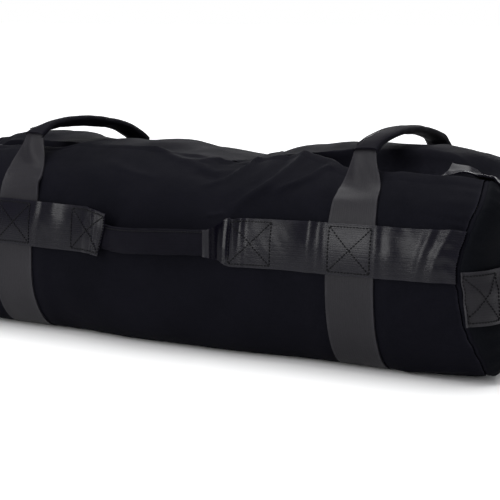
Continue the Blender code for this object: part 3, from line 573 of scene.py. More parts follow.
def roundAngles(count):
    # Even angles round a circle.
    return np.arange(count) * 2 * math.pi / count


def oval(halfWide, halfThick, roundness, count):
    # Superellipse outline: (a cos^(2/n), b sin^(2/n)).
    c, s = np.cos(roundAngles(count)), np.sin(roundAngles(count))
    return (halfWide * np.sign(c) * np.abs(c) ** (2 / roundness),
            halfThick * np.sign(s) * np.abs(s) ** (2 / roundness))


def tubeFaces(count, rows, columns, outward):
    # Faces of many equal tubes with capped ends, turned round where they would face inwards.
    quads, cap = quadGrid(rows, columns, False, True), np.arange(columns)
    caps = np.stack([cap[::-1], cap + (rows - 1) * columns])
    starts = (np.arange(count) * rows * columns)[:, None, None]
    step = 1 if outward else -1
    quads, caps = (faces[:, ::step] + starts for faces in (quads, caps))
    return quads.reshape(-1, 4).tolist() + caps.reshape(-1, columns).tolist()


def ringsAlong(centres, wideAxis, thickAxis, wide, thick):
    # An outline carried along a line, in the plane of two axes given for each point of the line.
    across = wide[..., None] * wideAxis[:, None, :]
    return centres[:, None, :] + across + thick[..., None] * thickAxis[:, None, :]


# Materials


def newGroup(name, inputs, outputs):
    # An empty shader group whose inputs are a vector and the named numbers, with their starting
    # values. Gives the group, its inputs and the function that sends it its outputs.
    group = bpy.data.node_groups.new(name, "ShaderNodeTree")
    newSocket, number = group.interface.new_socket, "NodeSocketFloat"
    newSocket(name="Vector", in_out="INPUT", socket_type="NodeSocketVector")
    for label, value in inputs.items():
        newSocket(name=label, in_out="INPUT", socket_type=number).default_value = value
    for label in outputs:
        newSocket(name=label, in_out="OUTPUT", socket_type=number)
    start, end = group.nodes.new("NodeGroupInput"), group.nodes.new("NodeGroupOutput")

    def send(*values):
        for label, value in zip(outputs, values):
            group.links.new(value, end.inputs[label])
        return group

    return group, start.outputs, send


def put(tree, kind, settings=None, **inputs):
    # A node with its settings, and its inputs by socket name, with _ for a blank, or by number,
    # as in i0: a value or another socket.
    node = tree.nodes.new(kind)
    for key, value in (settings or {}).items():
        setattr(node, key, value)
    for key, value in inputs.items():
        numbered = key[0] == "i" and key[1:].isdigit()
        feed(tree, node.inputs[int(key[1:]) if numbered else key.replace("_", " ")], value)
    return node


def feed(tree, socket, value):
    # Links a socket to the one that feeds it, or gives it its value.
    if isinstance(value, bpy.types.NodeSocket):
        tree.links.new(value, socket)
    else:
        socket.default_value = value


def maths(tree, operation, a, b=0.0, clamp=False):
    # One operation on one or two values; clamp holds its result between 0 and 1.
    settings = {"operation": operation, "use_clamp": clamp}
    return put(tree, "ShaderNodeMath", settings, i0=a, i1=b).outputs[0]


def times(tree, *factors, clamp=False):
    # The product of two or more values; clamp holds the last one between 0 and 1.
    product = factors[0]
    for count, factor in enumerate(factors[1:], start=2):
        product = maths(tree, "MULTIPLY", product, factor, clamp and count == len(factors))
    return product


def stretched(tree, value, low, high, fromLow=0.0, fromHigh=1.0):
    # The value between fromLow and fromHigh, mapped to low and high and held there.
    return put(tree, "ShaderNodeMapRange", {"clamp": True}, Value=value, From_Min=fromLow,
               From_Max=fromHigh, To_Min=low, To_Max=high).outputs[0]


def mixColour(tree, share, a, b):
    # From colour a at share 0 to colour b at share 1.
    a, b = ((*colour, 1.0) if isinstance(colour, tuple) else colour for colour in (a, b))
    return put(tree, "ShaderNodeMix", {"data_type": "RGBA"}, i0=share, i6=a, i7=b).outputs[2]


def noise(tree, vector, scale, detail, **more):
    # The value of a noise texture of so many patches to the metre.
    settings = dict(Vector=vector, Scale=scale, Detail=detail, **more)
    return put(tree, "ShaderNodeTexNoise", None, **settings).outputs[0]


def makeWeaveGroup():
    # Plain weave: |sin| of one thread direction where the two sines agree in sign, of the other
    # where they don't.
    inputs = {"Threads": 1200.0, "Unevenness": 0.3}
    group, given, send = newGroup("Plain weave", inputs, ["Height", "Valley"])
    shift = times(group, noise(group, given["Vector"], 260.0, 2.0), given["Unevenness"])
    parts = put(group, "ShaderNodeSeparateXYZ", None, Vector=given["Vector"]).outputs
    angle = times(group, given["Threads"], math.pi)
    warp, weft = (
        maths(group, "SINE", maths(group, "ADD", times(group, parts[k], angle), shift))
        for k in (0, 1)
    )
    over = maths(group, "GREATER_THAN", times(group, warp, weft), 0.0)
    above = times(group, maths(group, "ABSOLUTE", warp), over)
    below = times(group, maths(group, "ABSOLUTE", weft), maths(group, "SUBTRACT", 1.0, over))
    height = maths(group, "ADD", above, below)
    return send(height, maths(group, "SUBTRACT", 1.0, height, True))


def makeWebbingGroup():
    # Belt weave: ribs along the belt, each crossed by slanting picks that change direction from
    # rib to rib: 0.55 |sin|^0.6 of the ribs plus 0.45 |sin| of the picks.
    inputs = {"Rib width": 0.0024, "Pick length": 0.0013}
    group, given, send = newGroup("Belt webbing", inputs, ["Height", "Valley"])
    parts = put(group, "ShaderNodeSeparateXYZ", None, Vector=given["Vector"]).outputs
    across = maths(group, "DIVIDE", parts[1], given["Rib width"])
    ribs = maths(group, "ABSOLUTE", maths(group, "SINE", times(group, across, math.pi)))
    slant = maths(group, "PINGPONG", across, 1.0)
    along = maths(group, "DIVIDE", parts[0], given["Pick length"])
    turns = times(group, maths(group, "ADD", along, slant), math.pi)
    picks = maths(group, "ABSOLUTE", maths(group, "SINE", turns))
    ribs, picks = times(group, maths(group, "POWER", ribs, 0.6), 0.55), times(group, picks, 0.45)
    height = maths(group, "ADD", ribs, picks)
    return send(height, maths(group, "SUBTRACT", 1.0, height, True))


def makeMottleGroup():
    # Slow colour variation and short fibres, from two noises.
    inputs = {"Patch scale": 14.0, "Fibre scale": 420.0}
    group, given, send = newGroup("Cloth mottle", inputs, ["Patches", "Fibres"])
    patches = noise(group, given["Vector"], given["Patch scale"], 4.0, Roughness=0.55)
    fibres = noise(group, given["Vector"], given["Fibre scale"], 3.0, Roughness=0.7)
    patches = stretched(group, patches, 0.0, 1.0, 0.3, 0.7)
    return send(patches, stretched(group, fibres, 0.0, 1.0, 0.35, 0.75))


def makeWearGroup():
    # Rubbed edges and the hem's painted crest highlight: the piece's edge share broken up by noise.
    group, given, send = newGroup("Rubbed edge and highlight", {"Edge share": 0.0, "Amount": 0.5}, ["Wear"])
    grain = noise(group, given["Vector"], 95.0, 5.0, Roughness=0.65)
    broken = stretched(group, grain, 0.15, 1.0, 0.35, 0.65)
    return send(times(group, given["Edge share"], broken, given["Amount"], clamp=True))


def makeDustGroup():
    # Chalky dust that settles on faces that look up.
    group, given, send = newGroup("Settled dust", {"Amount": 0.1}, ["Dust"])
    lie = put(group, "ShaderNodeNewGeometry").outputs["Normal"]
    height = put(group, "ShaderNodeSeparateXYZ", None, Vector=lie).outputs[2]
    facing = stretched(group, height, 0.0, 1.0, 0.2, 0.95)
    specks = noise(group, given["Vector"], 60.0, 6.0, Roughness=0.75)
    spread = stretched(group, specks, 0.0, 1.0, 0.42, 0.72)
    return send(times(group, facing, spread, given["Amount"], clamp=True))


weaveGroup, webbingGroup, mottleGroup = makeWeaveGroup(), makeWebbingGroup(), makeMottleGroup()
wearAndHighlightGroup, dustGroup = makeWearGroup(), makeDustGroup()

# Finishes: colours are linear. pattern is weave or webbing, pitch its threads per metre or its
# rib width in metres
# The worn colour is that of rubbed edges and fibres; along the hem's crest it is a painted
# highlight.
finishes = dict(
    bagCloth=dict(
        colour=(0.0035, 0.0034, 0.0061), second=(0.0027, 0.0028, 0.0046),
        wornAndHighlight=(0.012, 0.0117, 0.017), rough=(0.62, 0.78), specular=0.030, sheen=0.002,
        pattern="weave", pitch=1300.0, bump=0.10,
    ),
    # The end panels: the bag's cloth made darker, as painted shade on the ends that face away from
    # the light.
    panelClothPaintedShade=dict(
        colour=(0.0029, 0.0034, 0.0049), second=(0.0024, 0.0028, 0.0039),
        wornAndHighlight=(0.012, 0.012, 0.016), rough=(0.64, 0.80), specular=0.030, sheen=0.002,
        pattern="weave", pitch=1300.0, bump=0.10,
    ),
    greyWebbing=dict(
        colour=(0.0118, 0.0109, 0.0139), second=(0.0088, 0.0082, 0.0106),
        wornAndHighlight=(0.026, 0.025, 0.030), rough=(0.34, 0.46), specular=0.16, sheen=0.006,
        pattern="webbing", pitch=0.0024, bump=0.22,
    ),
    darkWebbing=dict(
        colour=(0.0030, 0.0026, 0.0060), second=(0.0022, 0.0019, 0.0045),
        wornAndHighlight=(0.008, 0.0074, 0.012), rough=(0.18, 0.28), specular=0.165, sheen=0.004,
        pattern="webbing", pitch=0.0022, bump=0.11,
    ),
    sleeveCloth=dict(
        colour=(0.0042, 0.0039, 0.0068), second=(0.0032, 0.0030, 0.0051),
        wornAndHighlight=(0.014, 0.013, 0.020), rough=(0.56, 0.74), specular=0.04, sheen=0.003,
        pattern="weave", pitch=900.0, bump=0.16,
    ),
    zipTape=dict(
        colour=(0.0080, 0.0080, 0.0095), second=(0.006, 0.006, 0.0075),
        wornAndHighlight=(0.02, 0.02, 0.02), rough=(0.60, 0.78), specular=0.2, sheen=0.003,
        pattern="webbing", pitch=0.0010, bump=0.15,
    ),
    linerCloth=dict(
        colour=(0.090, 0.090, 0.098), second=(0.065, 0.065, 0.072),
        wornAndHighlight=(0.17, 0.17, 0.18), rough=(0.60, 0.78), specular=0.30, sheen=0.06,
        pattern="weave", pitch=1000.0, bump=0.15,
    ),
)


# How strongly edges look rubbed; on the hem this is also the painted highlight along the crest.
wearAndHighlightAmount, dustAmount, dustColour = 0.55, 0.003, (0.30, 0.29, 0.28)
sheenRoughness, sheenTint = 0.45, (0.85, 0.83, 1.0, 1.0)


def newMaterial(name):
    # A material's tree and Principled shader, with the piece's own coordinates.
    made = bpy.data.materials.new(name)
    made.use_nodes = True
    tree = made.node_tree
    solid = put(tree, "ShaderNodeTexCoord").outputs["Object"]
    return made, tree, tree.nodes["Principled BSDF"], solid


def dress(tree, shader, colour, rough, bump, **plain):
    # Joins a colour and a roughness to the shader, and a bump of (height, strength, depth), which
    # goes inwards where the depth is below zero, and sets the shader's plain numbers.
    height, strength, depth = bump
    raised = put(tree, "ShaderNodeBump", {"invert": depth < 0}, Height=height, Strength=strength,
                 Distance=abs(depth))
    plain.update(Base_Color=colour, Roughness=rough, Normal=raised.outputs[0])
    for key, value in plain.items():
        feed(tree, shader.inputs[key.replace("_", " ")], value)


def clothMaterial(name, finish):
    # Cloth or webbing: weave bump, slow mottling, rubbed edges and a little settled dust. Along
    # the hem's crest the rubbed edge is a painted highlight.
    made, tree, shader, solid = newMaterial(name)
    chart = put(tree, "ShaderNodeUVMap", {"uv_map": "clothMap"}).outputs[0]
    edge = put(tree, "ShaderNodeAttribute", {"attribute_name": "edgeShare"}).outputs["Fac"]
    group = lambda kind, **given: put(tree, "ShaderNodeGroup", {"node_tree": kind}, **given).outputs
    pitch, second = finish["pitch"], finish["second"]
    if finish["pattern"] == "weave":
        cloth = group(weaveGroup, Vector=chart, Threads=pitch)
    else:
        cloth = group(webbingGroup, Vector=chart, Rib_width=pitch, Pick_length=0.55 * pitch)
    mottle = group(mottleGroup, Vector=solid)
    wearAndHighlight = group(wearAndHighlightGroup, Vector=solid, Edge_share=edge, Amount=wearAndHighlightAmount)["Wear"]
    dust = group(dustGroup, Vector=solid, Amount=dustAmount)["Dust"]
    shade = tuple(0.35 * c for c in second)
    colour = mixColour(tree, mottle["Patches"], finish["colour"], second)
    colour = mixColour(tree, times(tree, cloth["Valley"], 0.6), colour, shade)
    colour = mixColour(tree, times(tree, mottle["Fibres"], 0.12), colour, finish["wornAndHighlight"])
    # Rubbed edges; along the hem's crest this is a painted highlight.
    colour = mixColour(tree, wearAndHighlight, colour, finish["wornAndHighlight"])
    colour = mixColour(tree, dust, colour, dustColour)
    rough = stretched(tree, mottle["Patches"], *finish["rough"])
    rough = maths(tree, "ADD", rough, times(tree, cloth["Valley"], 0.10), True)
    height = maths(tree, "ADD", cloth["Height"], times(tree, mottle["Fibres"], 0.35))
    dress(tree, shader, colour, rough, (height, finish["bump"], 0.0006),
          Specular_IOR_Level=finish["specular"], Sheen_Weight=finish["sheen"],
          Sheen_Roughness=sheenRoughness, Sheen_Tint=sheenTint)
    return made


def threadMaterial():
    # Twisted sewing thread, with its turns as slanting ridges.
    made, tree, shader, solid = newMaterial("sewingThread")
    turns = put(tree, "ShaderNodeTexWave", {"bands_direction": "DIAGONAL"}, Vector=solid,
                Scale=900.0, Distortion=1.5).outputs[1]
    fluff = noise(tree, solid, 1500.0, 3.0)
    dark, light = (0.0012, 0.0012, 0.0018), (0.006, 0.006, 0.008)
    colour = mixColour(tree, times(tree, turns, fluff), dark, light)
    dress(tree, shader, colour, stretched(tree, fluff, 0.5, 0.75), (turns, 0.3, 0.0002),
          Specular_IOR_Level=0.12)
    return made


def metalMaterial(name, paint, metallic, rough):
    # Painted die-cast metal: fine casting grain, with the paint rubbed thin in patches.
    made, tree, shader, solid = newMaterial(name)
    grain = noise(tree, solid, 1800.0, 4.0)
    bare = stretched(tree, noise(tree, solid, 240.0, 5.0, Roughness=0.6), 0.0, 1.0, 0.56, 0.70)
    colour = mixColour(tree, bare, paint, tuple(min(1, 4 * c) for c in paint))
    dress(tree, shader, colour, stretched(tree, bare, rough, 0.7 * rough), (grain, 0.12, 0.0001),
          Metallic=metallic)
    return made


def sandMaterial():
    # Dry sand: grains of a few tints with small shadows between them.
    made, tree, shader, solid = newMaterial("drySand")
    grains = put(tree, "ShaderNodeTexVoronoi", None, Vector=solid, Scale=1400.0).outputs
    tint = put(tree, "ShaderNodeSeparateColor", None, Color=grains["Color"]).outputs[0]
    colour = mixColour(tree, tint, (0.42, 0.32, 0.20), (0.66, 0.56, 0.40))
    drift = times(tree, noise(tree, solid, 30.0, 4.0), 0.5)
    colour = mixColour(tree, drift, colour, (0.34, 0.25, 0.15))
    rough = stretched(tree, tint, 0.8, 0.98)
    dress(tree, shader, colour, rough, (grains["Distance"], 0.5, -0.0006))
    return made


def floorMaterial():
    # Matt white paper, with a faint tooth, that glows far out, for the camera alone.
    made, tree, shader, solid = newMaterial("paperSweep")
    roughest = studio["floorRoughness"]
    tooth = stretched(tree, noise(tree, solid, 220.0, 3.0), roughest - 0.05, roughest)
    feed(tree, shader.inputs["Roughness"], tooth)
    shader.inputs["Base Color"].default_value = (*studio["floorColour"], 1.0)
    shader.inputs["Specular IOR Level"].default_value = 0.1
    away = put(tree, "ShaderNodeVectorMath", {"operation": "LENGTH"}, i0=solid).outputs["Value"]
    lift = stretched(tree, away, 0.0, studio["glow"], studio["glowStart"], studio["glowEnd"])
    seenByCamera = put(tree, "ShaderNodeLightPath").outputs["Is Camera Ray"]
    glow = put(tree, "ShaderNodeEmission", None, Strength=times(tree, lift, seenByCamera))
    both = put(tree, "ShaderNodeAddShader", None, i0=shader.outputs[0], i1=glow.outputs[0])
    feed(tree, tree.nodes["Material Output"].inputs["Surface"], both.outputs[0])
    return made


looks = {name: clothMaterial(name, finish) for name, finish in finishes.items()}
looks["thread"] = threadMaterial()
looks["zipMetal"] = metalMaterial("zipMetal", (0.05, 0.05, 0.055), 0.85, 0.38)
looks["zipCoil"] = metalMaterial("zipCoil", (0.016, 0.016, 0.018), 0.0, 0.42)
looks["drySand"] = sandMaterial()
print("materials made:", len(looks))

# Floor and sky

half = studio["floorSize"] / 2
floorCorners = ((-half, -half), (half, -half), (half, half), (-half, half))
floorPoints = [(x, y, studio["floorHeight"]) for x, y in floorCorners]
floor = addPiece("paperFloor", floorPoints, [[0, 1, 2, 3]], floorMaterial(), None, smooth=False)
sky = bpy.data.worlds.new("studioSky")
sky.use_nodes = True
bpy.context.scene.world = sky
skyTree = sky.node_tree
skyTree.nodes.clear()
lit, seen = (
    put(skyTree, "ShaderNodeBackground", None, Color=(*tint, 1.0), Strength=strength).outputs[0]
    for tint, strength in ((studio["skyTint"], studio["skyLight"]), (studio["skySeen"], 1.0))
)
cameraRay = put(skyTree, "ShaderNodeLightPath").outputs["Is Camera Ray"]
blendSky = put(skyTree, "ShaderNodeMixShader", None, i0=cameraRay, i1=lit, i2=seen).outputs[0]
put(skyTree, "ShaderNodeOutputWorld", None, Surface=blendSky)
bpy.context.scene.view_settings.view_transform = "Standard"

# Bag shell

shell = dict(
    rows=203, frontColumns=96, rearColumns=60, floorColumns=14, end=0.3112,
    frontShoulder=-0.385, floorEdge=0.10, rearShoulder=0.44,  # shares of the girth
    nearSlot=(0, 0.12, 0.3, 0.5, 0.7, 0.88, 1.0), frontSteps=15, rearSteps=19,
)


def shellGirths(x):
    # Girth shares of the columns at x: close beside the slot and on the crests, even elsewhere.
    frontCrest, rearCrest = lipCrests(x)
    slotFront = -bag["zipDistance"] - bag["slotHalf"]
    slotRear = -bag["zipDistance"] + bag["slotHalf"]
    near, edge = np.array(shell["nearSlot"]), shell["floorEdge"]
    atFront, atRear = shell["frontShoulder"], shell["rearShoulder"]
    frontLip = girthAtY(x, slotFront + (frontCrest - slotFront) * near)
    rearLip = 1 + girthAtY(x, rearCrest + (slotRear - rearCrest) * near)
    share = np.linspace(0, 1, shell["frontSteps"])[None, 1:] ** 1.25
    frontSlope = frontLip[:, -1:] + (atFront - frontLip[:, -1:]) * share
    share = 1 - np.linspace(1, 0, shell["rearSteps"])[None, 1:-1] ** 1.2
    rearSlope = atRear + (rearLip[:, :1] - atRear) * share
    even = np.concatenate([
        np.linspace(atFront, -edge, shell["frontColumns"])[1:],
        np.linspace(-edge, edge, shell["floorColumns"])[1:],
        np.linspace(edge, atRear, shell["rearColumns"])[1:],
    ])
    even = np.broadcast_to(even, (len(x), len(even)))
    return np.concatenate([frontLip, frontSlope, even, rearSlope, rearLip], axis=1)


def makeShell():
    # The cloth's face over the whole grid, and the same grid a cloth's thickness further in.
    x = np.linspace(-shell["end"], shell["end"], shell["rows"])[:, None]
    outer = clothPoint(x, shellGirths(x))
    normal = unit(np.cross(np.gradient(outer, axis=1), np.gradient(outer, axis=0)))
    inner = outer - normal * bag["thickness"]
    return slabPiece("bagShell", outer, inner, looks["bagCloth"], "bag", (0.004, 0.003),
                     replaces=["bag_body"])


makeShell()
print("shell made")

# End panels and the piping round them

endPanel = dict(
    rim=0.3168, bulge=0.028, middle=0.100, rimPower=3.0, depthPower=1.6, thickness=0.0016,
    turns=44, crowding=1.25, lastTurn=0.985, around=200, rimFade=0.12,
    pucker=0.0009, puckerPitch=0.0023, puckerReach=0.10, puckerStray=2, strayNoise=(0.03, 31),
    dents=((0.0016, 0.055, 17), (0.0006, 0.022, 18)),  # height, spacing and seed
    piping=0.0019, pipingDepth=0.0021, pipingStretch=1.75, pipingOut=0.0002, pipingRings=360,
    pipingTwist=110, pipingRipple=0.05,
)


def endOutline(side, girth):
    # The bag's section at its end, across and up.
    return archPoint(side * halfLength, girth)[..., 1:]


def endDents(side, y, z):
    # Soft dents of the panel, large and small.
    (deep, wide, seedWide), (fine, narrow, seedNarrow) = endPanel["dents"]
    dents = deep * softNoise(y + side, z, wide, seedWide)
    return dents + fine * softNoise(y, z + side, narrow, seedNarrow)


def endDome(side, turn, girth):
    # Dome over the end outline: radius cos(t)^(2/3), depth sin(t)^(2/1.6), with puckers at the
    # rim and a few soft dents.
    outline = endOutline(side, girth)
    middle = np.array([0.0, endPanel["middle"]])
    reach = np.abs(np.cos(turn)) ** (2 / endPanel["rimPower"])
    depth = endPanel["bulge"] * np.abs(np.sin(turn)) ** (2 / endPanel["depthPower"])
    yz = middle + (outline - middle) * reach[..., None]
    y, z = yz[..., 0], yz[..., 1]
    along = girth * bag["girthLength"]
    stray = endPanel["puckerStray"] * softNoise(along, y, *endPanel["strayNoise"])
    turns = np.sin(along / endPanel["puckerPitch"] + stray)
    pucker = endPanel["pucker"] * np.exp(-((1 - reach) / endPanel["puckerReach"])) * turns
    depth = depth + (pucker + endDents(side, y, z)) * smoothStep(turn / endPanel["rimFade"])
    return np.stack([side * (endPanel["rim"] + np.maximum(depth, 0)), y, z], axis=-1)


def endFace(side, y, z):
    # The same dome, from a place across and up it.
    outline = endOutline(side, np.linspace(-0.5, 0.5, 721))
    angles = np.arctan2(outline[:, 0], endPanel["middle"] - outline[:, 1])
    radii = np.hypot(outline[:, 0], outline[:, 1] - endPanel["middle"])
    order = np.argsort(angles)
    turned = np.arctan2(y, endPanel["middle"] - z)
    radius = np.interp(turned, angles[order], radii[order], period=2 * math.pi)
    share = np.clip(np.hypot(y, z - endPanel["middle"]) / radius, 0, 1)
    depth = endPanel["bulge"] * (1 - share ** endPanel["rimPower"]) ** (1 / endPanel["depthPower"])
    x = side * (endPanel["rim"] + np.maximum(depth + endDents(side, y, z), 0))
    return np.stack(np.broadcast_arrays(x, y, z), axis=-1)


def endFaceNormal(side, y, z, step=0.003):
    # Which way the panel's face looks, from its slopes across and up.
    across = endFace(side, y + step, z) - endFace(side, y - step, z)
    rise = endFace(side, y, z + step) - endFace(side, y, z - step)
    return unit(np.cross(across, rise) * side)


def makeEndPanel(side):
    # The dome as rings from its middle to the rim and back inside it, mapped flat from the end.
    turn = np.linspace(0, 1, endPanel["turns"]) ** endPanel["crowding"] * endPanel["lastTurn"]
    girth = (np.arange(endPanel["around"]) / endPanel["around"] - 0.5)[None, :]
    outer = endDome(side, turn[:, None] * math.pi / 2, girth)
    around = np.roll(outer, -1, axis=1) - np.roll(outer, 1, axis=1)
    normal = unit(np.cross(around, np.gradient(outer, axis=0)) * side)
    inner = outer - normal * endPanel["thickness"]
    inner[0, :, 0] = outer[0, :, 0]
    rings = np.concatenate([outer[::-1], inner])
    name = sideNames[side]
    # The panel's darker cloth is painted shade.
    piece = tubePiece("endPanel" + name.title(), rings, looks["panelClothPaintedShade"], "bag",
                      uv=rings[..., 1:] * [side, 1], replaces=[f"end_panel_{name}"])


def makePiping(side):
    # A cord in a bias strip, round the seam: a circle carried round the end outline, drawn out
    # along the bag.
    count = endPanel["pipingRings"]
    girth = np.arange(count) / count - 0.5
    outline = archPoint(side * halfLength, girth)
    normal = gridNormal(archPoint, np.full(count, side * halfLength), girth, 0.0001, 0.0005)
    normal = unit(normal * [0, 1, 1])
    twist = np.sin(girth * 2 * math.pi * endPanel["pipingTwist"])
    radius = endPanel["piping"] * (1 + endPanel["pipingRipple"] * twist)
    centre = outline - normal * endPanel["pipingDepth"]
    angle = roundAngles(12)[:, None]
    circle = np.cos(angle) * normal[:, None, :]
    circle = circle + endPanel["pipingStretch"] * np.sin(angle) * sideways
    rings = centre[:, None, :] + radius[:, None, None] * circle
    rings = rings + side * endPanel["pipingOut"] * sideways
    name = sideNames[side]
    piece = tubePiece("endPiping" + name.title(), rings, looks["bagCloth"], "bag", closed=True,
                      replaces=[f"end_piping_{name}"])


for side in (left, right):
    makeEndPanel(side)
    makePiping(side)
print("end panels made")

# Stitches

stitch = dict(
    pitch=0.0032, length=0.0025, radius=0.00062, bow=0.55, aboveWebbing=0.0001,
    rings=((-0.5, 0.45), (-0.22, 1.0), (0.22, 1.0), (0.5, 0.45)),  # place along and size of each
    around=6, boxPoints=25,
)


def makeStitches(name, body, lines):
    # Short capsules of thread laid along lines of points with their normals: four rings of six
    # points, of which the middle two bow outwards.
    centres, tangents, normals = [], [], []
    for points, normal in lines:
        done = distanceAlong(points)
        count = max(1, int(done[-1] / stitch["pitch"]))
        wanted = (np.arange(count) + 0.5) * done[-1] / count
        at = lambda values, where: np.stack([np.interp(where, done, v) for v in values.T], axis=1)
        centres.append(at(points, wanted))
        tangents.append(at(points, wanted + 0.0005) - at(points, wanted - 0.0005))
        normals.append(at(normal, wanted))
    centre, tangent = np.concatenate(centres), unit(np.concatenate(tangents))
    normal = np.concatenate(normals)
    normal = unit(normal - tangent * (normal * tangent).sum(1, keepdims=True))
    aside, angle = np.cross(tangent, normal), roundAngles(stitch["around"])[:, None]
    circle = np.cos(angle) * normal[:, None, :] + np.sin(angle) * aside[:, None, :]
    rings = []
    for along, scale in stitch["rings"]:
        bow = normal * (stitch["radius"] * (stitch["bow"] if scale == 1.0 else 0.0))
        middle = centre + tangent * stitch["length"] * along + bow
        rings.append(middle[:, None, :] + stitch["radius"] * scale * circle)
    points = np.stack(rings, axis=1)
    rows, columns = len(rings), stitch["around"]
    first = points[0].reshape(-1, 3)
    outward = signedVolume(first, quadGrid(rows, columns, False, True), first.mean(0)) > 0
    faces = tubeFaces(len(centre), rows, columns, outward)
    piece = addPiece(name, points, faces, looks["thread"], body)


def crossBox(surface, low, high, half):
    # Four sides and two diagonals of a sewn box on a surface of (place, across).
    corners = [(low, -half), (high, -half), (high, half), (low, half)]
    lines, share = [], np.linspace(0, 1, stitch["boxPoints"])
    for a, b in ((0, 1), (1, 2), (2, 3), (3, 0), (0, 2), (1, 3)):
        start, end = corners[a], corners[b]
        place, across = (start[k] + (end[k] - start[k]) * share for k in (0, 1))
        lines.append(surface(place, across))
    return lines


# Girth straps

strap = dict(
    lastGirth=0.366, rows=132, lifted=26, columns=15, footWidth=0.0225, thickness=0.0018,
    narrowing=0.16, narrowFrom={left: 0.66, right: 0.60}, narrowOver=0.14, offCloth=0.0002,
    wave=0.0014, waveTurns=88, ripple=0.0012, rippleTurns=60, slackRamp=(0.60, 0.10), footFade=0.05,
    bow=0.0014, buckle=0.0013, curl=0.0024, tuckedIn=0.004, leaving=0.36, arriving=0.30,
    arrivingRise=0.7, rounding=2.5,  # how soon the lifted rows turn to face outwards
)
# Top handles: middle line of each as (across, height, along from the strap's place), in mm, and
# how far its front part and its rear part turn about that line, in degrees
topHandle = dict(
    lines={
        left: ((-93, 211, 4), (-84, 215.5, 5), (-70, 219.3, 6), (-48, 221.6, 7), (-28, 221.6, 8),
               (-12, 220.9, 9), (10, 219.2, 11), (34, 215.8, 13), (48, 213, 14.5),
               (60, 209.4, 15.5), (80, 200.5, 16), (96, 192, 16)),
        right: ((-86, 211, -2), (-79, 214.2, -2), (-68, 217.8, -1.5), (-42, 223, 0.5),
                (-20, 225.2, 1), (2, 225.4, 1.5), (27, 223.8, 2), (48, 220.4, 2.5), (68, 216, 3),
                (82, 211.5, 3), (91, 205.2, 3), (101, 198, 2.5)),
    },
    turned={left: (-19.0, -8.0), right: (-7.0, 0.0)},
    turnRamp=(-0.010, 0.060), footRamp=(-0.097, 0.024),
    bendFrom=0.192, bendTo=0.217,  # heights given with the joint; nothing bends between them
    foldedWidth=0.024, foldedThickness=0.0036, sleeveWide=0.0134, sleeveThick=0.0043, rows=84,
    seamAngle=-0.55 * math.pi, seamAt=0.80,
)
sleeve = dict(around=36, roundness=2.7, holeRoundness=5.0, holeInset=0.0003, holeRoom=0.0006,
              dimple=0.08, dimpleSize=0.012, dimpleRadius=0.008, endPinch=0.10, endReach=0.03,
              taperReach=0.12, seam=0.0007, seamHalf=0.15)
# The folded webbing inside a sleeve, slimmer than the strap where it goes in
strip = dict(around=20, roundness=7.0, slimWide=0.0014, slimThick=0.0004)
sewn = slice(3, -3)  # the part of a sleeve's line that its stitches follow


def handleBend(side):
    # The bag, the handle's joint and two points up the strap; the pieces are attached to neither.
    at = lambda height: (bag["strapPlaces"][side], 0, topHandle[height])
    return "bag", f"top_handle_{sideNames[side]}", at("bendFrom"), at("bendTo")


def handleLine(side, count):
    # Points along a top handle's middle, with the directions of its width and of its thickness.
    line = throughPoints(np.array(topHandle["lines"][side], float) / 1000, count)
    centres = np.stack([bag["strapPlaces"][side] + line[:, 2], line[:, 0], line[:, 1]], axis=1)
    slope = unit(np.gradient(centres, axis=0))
    wide = unit(sideways - slope * (slope @ sideways)[:, None])
    thick = unit(np.cross(slope, wide))
    thick = thick * np.sign(thick[:, 2:3])
    y, (atFront, atRear) = centres[:, 1:2], topHandle["turned"][side]
    turn = atFront + (atRear - atFront) * rampUp(y, *topHandle["turnRamp"])
    turn = np.radians(turn * rampUp(y, *topHandle["footRamp"]))
    c, s = np.cos(turn), np.sin(turn)
    return centres, wide * c - thick * s, thick * c + wide * s


def liftedRows(edgeRow, before, side, end):
    # Cubic curve from the last row on the bag to the handle's end, while the strap narrows and
    # its edges curl back.
    centres, _, _ = handleLine(side, topHandle["rows"])
    foot, inner = (centres[0], centres[1]) if end == front else (centres[-1], centres[-2])
    sleeveWay = unit(inner - foot)
    last = foot + sleeveWay * strap["tuckedIn"]
    base = edgeRow[len(edgeRow) // 2]
    leave, arrive = unit(base - before), unit(sleeveWay + strap["arrivingRise"] * upwards)
    reach = np.linalg.norm(last - base)
    share = (np.arange(1, strap["lifted"] + 1) / strap["lifted"])[:, None]
    leaving = base + leave * reach * strap["leaving"]
    arriving = last - arrive * reach * strap["arriving"]
    curve = (base * (1 - share) ** 3 + 3 * leaving * share * (1 - share) ** 2
             + 3 * arriving * share**2 * (1 - share) + last * share**3)
    slope = unit(np.gradient(curve, axis=0))
    outwards = unit(np.cross(slope, sideways))
    outwards = outwards * np.sign((outwards * [0, end, 0.4]).sum(1))[:, None]
    curve = curve + outwards * strap["bow"] * np.sin(math.pi * share) ** 2
    across = np.linspace(-1, 1, strap["columns"])[None, :, None]
    startHalf = np.linalg.norm(edgeRow[-1] - edgeRow[0]) / 2
    narrowed = 0.35 * share + 0.65 * smoothStep(share * 1.15)
    half = startHalf + (strap["footWidth"] / 2 - startHalf) * narrowed
    back = strap["curl"] * np.sin(math.pi * np.clip(share * 0.9, 0, 1))
    buckle = strap["buckle"] * np.sin(across * 3.4 + share[:, None] * 4.0 + side)
    buckle = buckle * np.sin(math.pi * share)[:, None]
    rows = curve[:, None, :] + sideways * across * half[:, None]
    rows = rows - outwards[:, None, :] * (across**2 * back[:, None] - buckle)
    return rows, np.broadcast_to(outwards[:, None, :], rows.shape)


